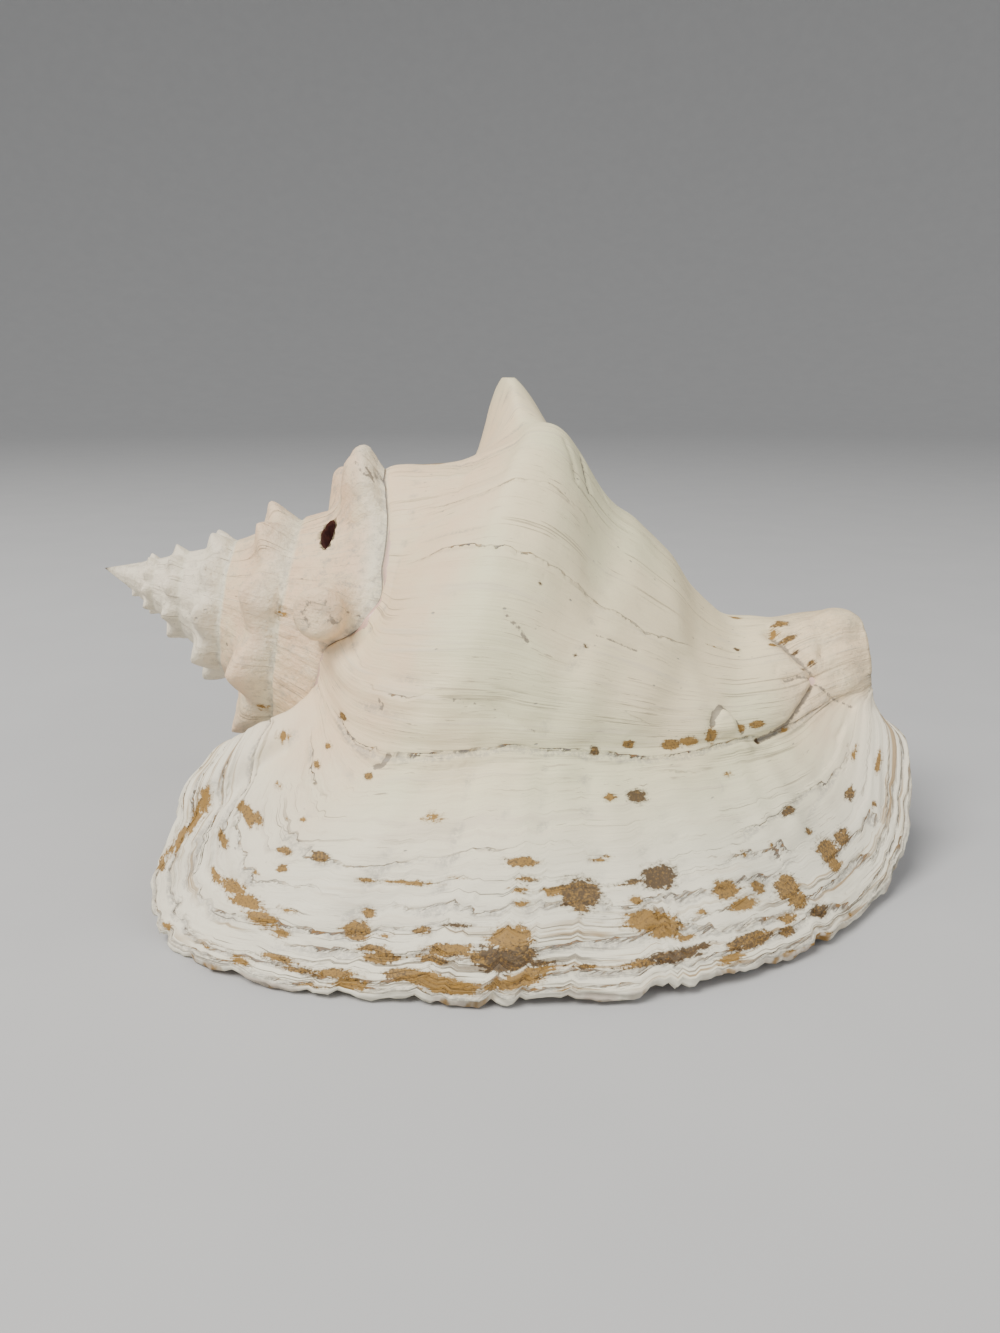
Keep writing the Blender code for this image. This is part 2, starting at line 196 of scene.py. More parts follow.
# spines: theta, station, height, half-width in degrees, half-width in t, lean towards
# the apex
SPINES = (
    (11.0, 0.35, 4.0, 16.0, 0.050, 0.00),
    (-28.0, 0.31, 27.0, 12.0, 0.065, 0.30),
    (-70.0, 0.33, 24.0, 12.0, 0.055, 0.30),
    (-108.0, 0.33, 19.0, 12.0, 0.055, 0.25),
    (-142.0, 0.33, 15.5, 12.0, 0.055, 0.15),
    (-196.0, 0.30, 4.0, 13.0, 0.055, 0.30),
    (-245.0, 0.23, 8.0, 10.5, 0.055, 0.60),
    (-290.0, 0.19, 11.0, 9.0, 0.045, 0.50),
    (-347.0, 0.25, 14.5, 14.0, 0.075, 0.55),
    (-387.0, 0.18, 12.0, 11.0, 0.050, 0.70),
)
SPINE_BLUNT = 1.2
SPINE_POINT = 0.35
SPINE_POINT_BEFORE = -400.0
SPIRE_SPINE_FIRST = -425.0
SPIRE_SPINE_STEP = 37.5
SPIRE_SPINE_T = 0.21
SPIRE_SPINE_HEIGHT = 16.0
SPIRE_SPINE_FORM = (13.0, 0.065, 0.90)

# an old hole that was cut into the spire, and how it lies
SLOT_THETA = -328.0
SLOT_T = 0.115
SLOT_LENGTH = 12.5
SLOT_WIDTH = 4.2
SLOT_DEPTH = 11.0
SLOT_SIDES = 12
# rings of the plug that cuts it: share of the depth and of the size
SLOT_RINGS = ((-1.0, 0.45), (-0.45, 0.85), (0.0, 1.0))
SLOT_ABOVE = (7.0, 1.05)
SLOT_AXIS_AT = 69.0

# walls
WALL = 3.6
LIP_WALL = 3.0
CALLUS = 0.9
CANAL_FLOOR_T = 0.93
FLOOR_SINK = 0.55
FLOOR_SINK_T = 0.40


TILT = math.radians(AXIS_TILT)
AXIS = np.array((math.cos(TILT), 0.0, -math.sin(TILT)))
UP = np.array((math.sin(TILT), 0.0, math.cos(TILT)))
FRONT = np.array((0.0, -1.0, 0.0))
ORIGIN = np.array(APEX)


def smooth(x):
    """Eased step from 0 to 1."""
    x = np.clip(x, 0.0, 1.0)
    return x * x * (3.0 - 2.0 * x)


def spline(x, knots, values):
    """Smooth curve through values at knots; values may have any trailing shape."""
    knots = np.asarray(knots, float)
    values = np.asarray(values, float)
    x = np.asarray(x, float)
    tail = (1,) * (values.ndim - 1)
    step = np.diff(knots)
    wide = step.reshape(-1, *tail)
    slope = np.diff(values, axis=0) / wide
    tangent = np.empty_like(values)
    tangent[0] = slope[0]
    tangent[-1] = slope[-1]
    tangent[1:-1] = (slope[:-1] * wide[1:] + slope[1:] * wide[:-1]) / (wide[1:] + wide[:-1])
    k = np.clip(np.searchsorted(knots, x, side="right") - 1, 0, len(knots) - 2)
    length = step[k]
    f = np.clip((x - knots[k]) / length, 0.0, 1.0)
    f = np.reshape(f, np.shape(f) + tail)
    length = np.reshape(length, np.shape(length) + tail)
    a = 2.0 * f ** 3 - 3.0 * f ** 2 + 1.0
    b = f ** 3 - 2.0 * f ** 2 + f
    c = -2.0 * f ** 3 + 3.0 * f ** 2
    d = f ** 3 - f ** 2
    return a * values[k] + b * length * tangent[k] + c * values[k + 1] + d * length * tangent[k + 1]


def bend(a):
    """How far the canal has risen at a distance along the axis."""
    return BEND_RISE * smooth((a - BEND_START) / BEND_LENGTH)


def frame_point(a, u, v):
    """Points from distances along the axis, upward and to the front."""
    return ORIGIN + a[..., None] * AXIS + u[..., None] * UP + v[..., None] * FRONT


def curve(points, x):
    """Smooth curve through the rows of a table, level past its ends."""
    table = np.array(points)
    x = np.clip(x, table[0, 0], table[-1, 0])
    return spline(x, table[:, 0], table[:, 1:])


def growth(theta):
    """Scale of the whorl along the axis and across it."""
    return np.exp(curve([(at, math.log(a), math.log(r)) for at, a, r in GROWTH], theta))


def coil(theta, t):
    """Distance along the axis and radius of the regular coil at paired theta and t."""
    base = curve(PROFILE, t)
    k = growth(theta)
    f = np.clip((base[..., 0] - SHOULDER) / (CANAL_END - SHOULDER), 0.0, 1.0)
    end = CANAL_END + curve(CANAL_RIM, theta)[..., 0]
    start = k[..., 0] * SHOULDER
    a = np.where(f > 0.0, start + (end - start) * f, k[..., 0] * base[..., 0])
    r = base[..., 1] * k[..., 1] ** (1.0 - 0.3 * f)
    return a, r


def spines(theta, t):
    """Height and lean of the spines at paired theta and t."""
    rows = list(SPINES)
    at = SPIRE_SPINE_FIRST
    while at > APEX_ANGLE:
        height = SPIRE_SPINE_HEIGHT * float(growth(np.array(at))[1])
        rows.append((at, SPIRE_SPINE_T, height) + SPIRE_SPINE_FORM)
        at -= SPIRE_SPINE_STEP
    out = np.zeros_like(theta)
    lean = np.zeros_like(theta)
    for at, station, height, wide, band, tip in rows:
        d = ((theta - at) / wide) ** 2 + ((t - station) / band) ** 2
        lump = np.tanh(SPINE_BLUNT * np.exp(-0.9 * d)) / np.tanh(SPINE_BLUNT)
        if at < SPINE_POINT_BEFORE:
            cone = np.exp(-1.9 * (np.sqrt(d + 0.02) - 0.141))
            lump = lump + (cone - lump) * SPINE_POINT
        lump = lump * height
        out += lump
        lean += tip * lump
    return out, lean


def law(theta, t):
    """Points of the regular coil with its spines, bend and slit."""
    a, r = coil(theta, t)
    out, lean = spines(theta, t)
    a = a - lean
    r = r + out
    turn = smooth((t - SLIT_START_T) / (1.0 - SLIT_START_T))
    turn = turn * (1.0 - smooth((theta - SLIT_CLOSES_AT) / SLIT_CLOSES_OVER))
    turn = turn * smooth((theta - SLIT_OPENS_AT) / SLIT_OPENS_OVER)
    angle = np.radians(theta + SLIT_ANGLE * turn)
    return frame_point(a, r * np.cos(angle) + bend(a), r * np.sin(angle))


def outer(theta, t):
    """Outer surface, before the whorls are joined at the suture."""
    theta = np.asarray(theta, float)
    t = np.asarray(t, float)
    out = law(theta, t)
    old = curve(OLD_EDGE, t)
    lip = curve(LIP_EDGE, t)
    at_old = np.full_like(theta, OLD_EDGE_ANGLE)
    gain = old - law(at_old, t)
    span = OLD_EDGE_ANGLE - FLARE_START

    def grown(angle):
        f = np.clip((angle - FLARE_START) / span, 0.0, 1.0)
        w = smooth(f)
        return law(angle, t) + gain * w[..., None]

    before = grown(at_old - FLARE_STEP)
    middle = 0.5 * (old + lip)
    knots = (OLD_EDGE_ANGLE - FLARE_STEP, OLD_EDGE_ANGLE, FLARE_MIDDLE, LIP_ANGLE)
    share = spline(np.clip(theta, knots[0], knots[-1]), knots, np.eye(4))
    sheet = np.zeros_like(out)
    for k, row in enumerate((before, old, middle, lip)):
        sheet = sheet + share[..., k, None] * row
    near = grown(theta)
    return np.where((theta <= OLD_EDGE_ANGLE)[..., None], near, sheet)


def normals(points):
    """Outward unit normals of a grid of points."""
    along = np.gradient(points, axis=0)
    across = np.gradient(points, axis=1)
    n = np.cross(along, across)
    return n / (np.linalg.norm(n, axis=-1, keepdims=True) + 1e-12)


def zip_strip(a, b, pa, pb):
    """Triangles between two rows of points whose places along the strip are pa and pb."""
    out = []
    i = 0
    j = 0
    while i < len(a) - 1 or j < len(b) - 1:
        if j == len(b) - 1 or (i < len(a) - 1 and pa[i + 1] <= pb[j + 1]):
            out.append((a[i], a[i + 1], b[j]))
            i += 1
        else:
            out.append((a[i], b[j + 1], b[j]))
            j += 1
    return out


def face_out(bm, mesh):
    """Turns all faces outward and writes them to a mesh."""
    bmesh.ops.recalc_face_normals(bm, faces=bm.faces)
    if bm.calc_volume(signed=True) < 0.0:
        bmesh.ops.reverse_faces(bm, faces=bm.faces)
    bm.to_mesh(mesh)
    bm.free()


def link(name, data):
    """A new object in the scene."""
    obj = bpy.data.objects.new(name, data)
    bpy.context.scene.collection.objects.link(obj)
    return obj


def slot_cutter():
    """A pointed plug that follows the whorl and reaches SLOT_DEPTH into it."""
    here = np.array([SLOT_THETA, SLOT_THETA + 1.0, SLOT_THETA])
    at = np.array([SLOT_T, SLOT_T, SLOT_T + 0.01])
    p, q, s = outer(here, at)
    along = (q - p) / np.linalg.norm(q - p)
    across = s - p
    across = across - along * (across @ along)
    across = across / np.linalg.norm(across)
    out = np.cross(along, across)
    if out @ (p - (ORIGIN + SLOT_AXIS_AT * AXIS)) < 0.0:
        out = -out
    bm = bmesh.new()
    rings = []
    for depth, size in [(SLOT_DEPTH * share, size) for share, size in SLOT_RINGS] + [SLOT_ABOVE]:
        ring = []
        for k in range(SLOT_SIDES):
            turn = 2.0 * math.pi * k / SLOT_SIDES
            x = 0.5 * SLOT_LENGTH * size * math.cos(turn)
            y = 0.5 * SLOT_WIDTH * size * math.sin(turn) * (1.15 - 0.35 * math.cos(turn))
            c = p + along * x + across * y + out * depth
            ring.append(bm.verts.new([n * 0.001 for n in (c + SHIFT)]))
        rings.append(ring)
    for low, high in zip(rings[:-1], rings[1:]):
        for k in range(SLOT_SIDES):
            n = (k + 1) % SLOT_SIDES
            bm.faces.new((low[k], low[n], high[n], high[k]))
    bm.faces.new(rings[0])
    bm.faces.new(rings[-1])
    mesh = bpy.data.meshes.new("slot_cutter")
    face_out(bm, mesh)
    return link("slot_cutter", mesh)


# columns of one turn back from the lip: end of the stretch in degrees, spacing
TURN_SPANS = (
    (62.0, 0.78),
    (150.0, 0.95),
    (205.0, 1.60),
    (330.0, 2.50),
    (360.0, 1.60),
)
JOIN_ROWS = 27
BODY_ROW_COUNT = 195
COARSE = 3
TURNS = 7
RIM_LOOPS = 7
WELD_T = 0.2
ROWS_FROM_T = 0.10
# station of a whorl that the next one is joined to, and on the last turn of the row that
# takes its place: theta, t
SUTURE = (
    (-310.0, 0.33),
    (-293.0, 0.32),
    (-284.0, 0.25),
    (-276.0, 0.17),
    (-265.0, 0.15),
    (-250.0, 0.12),
    (-236.0, 0.09),
    (-210.0, 0.07),
    (-165.0, 0.12),
    (-100.0, 0.20),
    (40.0, 0.20),
    (100.0, 0.12),
    (150.0, 0.07),
)
SUTURE_RISE = 0.45
SUTURE_SINK = 0.55


def turn_offsets():
    """Offsets of one turn's columns back from the lip, a multiple of COARSE of them."""
    out = []
    low = 0.0
    for high, step in TURN_SPANS:
        count = max(1, int(round((high - low) / step)))
        out += [low + (high - low) * k / count for k in range(count)]
        low = high
    while len(out) % (2 * COARSE):
        k = int(np.argmax(np.diff(out)))
        out.insert(k + 1, 0.5 * (out[k] + out[k + 1]))
    return np.array(out)


def row_shares():
    """Spread of the rows past the join, even along the lip and the old edge together."""
    t = np.linspace(ROWS_FROM_T, 1.0, 600)
    lip = np.linalg.norm(np.diff(curve(LIP_EDGE, t), axis=0), axis=1)
    old = np.linalg.norm(np.diff(curve(OLD_EDGE, t), axis=0), axis=1)
    run = np.concatenate([[0.0], np.cumsum(0.55 * lip + 0.45 * old)])
    even = np.linspace(0.0, run[-1], BODY_ROW_COUNT + 1)
    return (np.interp(even, run, t) - ROWS_FROM_T) / (1.0 - ROWS_FROM_T)


LATTICES = {}


def lattice(seed):
    """Random numbers of one seed, drawn once."""
    if seed not in LATTICES:
        LATTICES[seed] = np.random.default_rng(seed).random((256, 256))
    return LATTICES[seed]


def noise(x, y, seed):
    """Smooth noise from 0 to 1 on a unit lattice."""
    table = lattice(seed)
    ix = np.floor(x).astype(int)
    iy = np.floor(y).astype(int)
    fx = smooth(x - ix)
    fy = smooth(y - iy)
    a = table[ix % 256, iy % 256]
    b = table[(ix + 1) % 256, iy % 256]
    c = table[ix % 256, (iy + 1) % 256]
    d = table[(ix + 1) % 256, (iy + 1) % 256]
    return (a * (1 - fx) + b * fx) * (1 - fy) + (c * (1 - fx) + d * fx) * fy


def fbm(x, y, seed, octaves=4):
    """Noise of several sizes added up, from 0 to 1."""
    total = np.zeros_like(x)
    size = 1.0
    span = 0.0
    for k in range(octaves):
        total = total + size * noise(x * 2.0 ** k, y * 2.0 ** k, seed + 17 * k)
        span += size
        size *= 0.5
    return total / span


# broken edges of the growth layers: distance from the lip on the growth scale,
# drop, wander and how much of the line is there
LAYERS = (
    (1.8, 0.70, 1.0, 0.80),
    (4.6, 1.00, 2.4, 0.85),
    (7.6, 0.60, 3.2, 0.60),
    (10.8, 1.20, 4.2, 0.85),
    (15.5, 0.70, 5.0, 0.60),
    (20.0, 1.00, 5.6, 0.75),
    (26.0, 0.50, 5.2, 0.50),
    (32.5, 0.60, 5.4, 0.55),
    (39.0, 0.25, 4.6, 0.35),
    (45.5, 0.22, 4.0, 0.30),
    (51.0, 0.20, 2.6, 0.30),
)
OLD_EDGE_AT = 57.0
OLD_EDGE_DROP = 0.80
OLD_EDGE_WANDER = 3.0
GROWTH_PER_DEGREE = 1.15
BODY_LAYER_STEP = 8.5
BODY_LAYERS = 40
LAYER_EDGE_WIDTH = 0.8
BODY_LAYER_DROP = 0.17
OLD_EDGE_SEED = 30
BODY_LAYER_SEED = 40


def growth_scale(theta, s, s_old, size):
    """Growth coordinate in millimetres from the lip: the same on a whole growth line."""
    on_lip = s + (OLD_EDGE_AT - s_old) * (s / s_old) ** 2
    column = np.zeros(len(theta))
    step = -np.diff(theta) * GROWTH_PER_DEGREE * 0.5 * (size[1:] + size[:-1])
    column[:-1] = -np.cumsum(step[::-1])[::-1]
    old = np.interp(OLD_EDGE_ANGLE, theta, column)
    past = column - old + OLD_EDGE_AT
    return np.where((theta >= OLD_EDGE_ANGLE)[:, None], on_lip, past[:, None])


def layer_rows():
    """The layers of the lip, the old edge and thin layers of the body, with a seed each."""
    rng = np.random.default_rng(5)
    rows = [(at, drop, wander, there, k) for k, (at, drop, wander, there) in enumerate(LAYERS)]
    rows.append((OLD_EDGE_AT, OLD_EDGE_DROP, OLD_EDGE_WANDER, 1.6, OLD_EDGE_SEED))
    at = OLD_EDGE_AT
    for k in range(BODY_LAYERS):
        at += BODY_LAYER_STEP * rng.uniform(0.6, 1.4)
        drop = BODY_LAYER_DROP * rng.uniform(0.4, 1.5)
        rows.append((at, drop, 3.5, rng.uniform(0.0, 0.36), BODY_LAYER_SEED + k))
    return rows


def layer_relief(t, g, u, room):
    """Height of the growth layers over the smooth coil, with the count of layers passed,
    the gap to the next one and how plain its edge is."""
    out = np.zeros_like(g)
    count = np.zeros_like(g)
    gap = np.full_like(g, 8.0)
    plain = np.zeros_like(g)
    below = np.full_like(g, -2.0)
    zero = 0.0 * u
    here_below = np.zeros_like(g)
    for k, (at, drop, wander, there, seed) in enumerate(layer_rows()):
        line = at + wander * (fbm(u * 0.035, zero, 200 + seed, 3) - 0.5) * 2.2
        fine = 0.9 if seed != OLD_EDGE_SEED else 0.55
        line = line + fine * (fbm(u * 0.30, zero, 300 + seed, 4) - 0.5) * 2.0
        line = np.maximum(line, below + 0.9)
        here = smooth((noise(u * 0.030 + 3.1, zero, 400 + seed) + there - 0.95) / 0.30)
        here = here * room
        if seed == OLD_EDGE_SEED:
            here = smooth((t - 0.10) / 0.05) * (1.0 - smooth((t - 0.93) / 0.04))
        inside = (g > below) & (g <= line)
        f = np.clip((g - below) / (line - below), 0.0, 1.0)
        fall = -drop * here * f ** 1.3 * smooth((line - g) / LAYER_EDGE_WIDTH)
        out = np.where(inside, fall, out)
        count = np.where(inside, k + f, count)
        gap = np.where(inside, line - below, gap)
        mid = smooth((f - 0.3) / 0.4)
        plain = np.where(inside, here * mid + here_below * (1.0 - mid), plain)
        count = np.where(g > line, k + 1.0, count)
        plain = np.where(g > line, 0.0, plain)
        below = line
        here_below = here
    return out, count, gap, plain


def ripples(out, theta, t, g, u):
    """Adds spiral ribs, lumps, wrinkles and the roughness of the spire to a height."""
    # a broad uneven set of ribs on the lip
    on_lip = smooth((theta - 84.0) / 16.0)
    rib = 0.22 * np.sin(t * 68.0 + 1.6 * noise(g * 0.02, t * 9.0, 81)) * smooth((t - 0.36) / 0.06)
    fan = 3.4 * (fbm(t * 17.0, g * 0.006, 83, 2) - 0.5)
    out = out + rib * (1.0 - on_lip) + fan * on_lip * smooth((g - 1.0) / 12.0)
    # lumps
    out = out + 1.0 * (fbm(g * 0.05, u * 0.05, 31, 2) - 0.5)
    out = out + 0.45 * (fbm(g * 0.20, u * 0.09, 37, 3) - 0.5)
    # wrinkles along the growth lines on the slope above the shoulder
    slope = smooth((0.36 - t) / 0.10) * (1.0 - 0.8 * on_lip)
    out = out + 1.1 * slope * (fbm(g * 0.24, u * 0.022, 91, 3) - 0.5)
    # the spire is rough all over
    spire = smooth((-200.0 - theta) / 60.0)
    out = out + 1.2 * spire * (fbm(g * 0.42, u * 0.30, 95, 3) - 0.5)
    return out


def soften(field, reach=3):
    """Running mean over the grid."""
    out = field
    for axis in (0, 1):
        total = np.zeros_like(out)
        for k in range(-reach, reach + 1):
            total = total + np.roll(out, k, axis=axis)
        out = total / (2 * reach + 1)
    return out


# folds and ridges of the outside, read off the photo: depth in millimetres, below zero for a ridge,
# half-width, darkness painted along the line (painted shade in the creases and grooves, the dark of
# the cracks), and its points in photo pixels
FOLDS = (
    # crease of the canal's lobe
    (2.2, 2.2, 0.75, ((772, 634), (784, 644), (796, 655), (808, 665), (819, 677))),
    # crease under the lobe
    (1.2, 1.3, 0.85, ((819, 677), (812, 692), (803, 706), (790, 724), (776, 733), (760, 741))),
    # left groove on the lobe
    (1.3, 1.6, 0.6, ((818, 626), (819, 640), (821, 656))),
    # right groove on the lobe
    (0.6, 1.4, 0.35, ((843, 625), (844, 645), (845, 662))),
    # crown of the lobe
    (-1, 4, 0, ((832, 625), (834, 650), (842, 680))),
    # left ridge of the lobe
    (-0.8, 3, 0, ((805, 628), (812, 652))),
    # split to the tip of the canal
    (0.8, 1.2, 0.7, ((786, 681), (800, 677), (813, 677), (824, 688), (832, 700), (850, 709))),
    # split down from the tip
    (0.5, 1, 0.45, ((850, 709), (846, 722), (836, 738))),
    # nick on the lobe
    (0.4, 0.9, 0.5, ((774, 673), (777, 667), (783, 669))),
    # groove inside the lip on the left
    (1.3, 2.6, 0.25, ((281, 748), (250, 771), (220, 797), (183, 827), (164, 855))),
    # ridge above that groove
    (-0.9, 4, 0, ((262, 748), (232, 768), (200, 793), (172, 822))),
    # fold at the corner of the lip
    (0.8, 1.8, 0.4, ((207, 868), (230, 882), (255, 903), (270, 922), (282, 937))),
    # ridge beside that fold
    (-0.7, 2.5, 0, ((200, 878), (225, 895), (248, 915), (262, 935))),
    # shoulder ridge below the main spine
    (-0.9, 5, 0, ((524, 455), (508, 510), (496, 564), (474, 641), (459, 687), (430, 722))),
    # shoulder ridge on the lip
    (-0.5, 6, 0, ((430, 740), (414, 780), (392, 830), (372, 870))),
    # low rib of the body
    (-0.5, 5, 0, ((575, 560), (582, 640), (590, 715))),
    # low rib beside the canal
    (-0.5, 5, 0, ((672, 600), (690, 660), (700, 720))),
    # cracks below the main spine
    (0.8, 1.1, 0.8, ((584, 452), (588, 470), (590, 492))),
    (0.5, 1, 0.5, ((598, 452), (604, 475), (608, 500))),
    (0.6, 1, 0.5, ((566, 440), (572, 458), (577, 480))),
    # wrinkles behind the main spine
    (0.6, 1.4, 0.3, ((480, 452), (470, 470), (456, 490))),
    (0.5, 1.2, 0.3, ((468, 452), (456, 468), (440, 486))),
    # chip on the old edge
    (0.5, 0.8, 1, ((373, 767), (381, 763), (389, 757))),
    # tooth
    (-1.6, 2.2, 0, ((748, 748), (733, 730), (718, 712))),
    # cut around the tooth
    (0.7, 0.8, 1.1, ((712, 727), (713, 714), (717, 707), (724, 710), (733, 720), (741, 732))),
    # ribs of the lip below the canal
    (-0.7, 3.6, 0, ((760, 750), (778, 785), (800, 825))),
    (-0.6, 3.6, 0, ((782, 748), (812, 785), (838, 822))),
    (-0.4, 3, 0, ((735, 750), (750, 790), (765, 825))),
    # broken tips of the front spine and of the spire
    (0.5, 0.9, 0.6, ((313, 612), (317, 604), (325, 606), (326, 616), (318, 620), (313, 612))),
    (0.4, 0.7, 0.5, ((261, 600), (266, 597), (269, 603), (264, 608), (261, 600))),
    # cracks on the back knob
    (0.5, 0.8, 0.9, ((366, 470), (374, 476), (384, 480))),
    (0.4, 0.7, 0.7, ((356, 462), (362, 472), (372, 482), (378, 474))),
    # hollow on the spire
    (0.4, 0.9, 0.6, ((222, 633), (230, 636), (228, 645), (222, 652))),
    # small cracks
    (0.35, 0.7, 0.7, ((378, 700), (382, 704), (381, 712))),
    (0.3, 0.8, 0.5, ((300, 786), (309, 795), (304, 806))),
    (0.3, 0.7, 0.6, ((330, 617), (345, 612), (360, 615))),
    (0.4, 0.8, 0.7, ((506, 615), (520, 628), (530, 640))),
    (0.35, 0.7, 0.6, ((597, 635), (612, 642), (640, 650))),
    (0.35, 0.7, 0.55, ((454, 700), (475, 705), (500, 712), (520, 725), (545, 735))),
    (0.3, 0.7, 0.5, ((430, 690), (445, 700), (470, 702))),
)

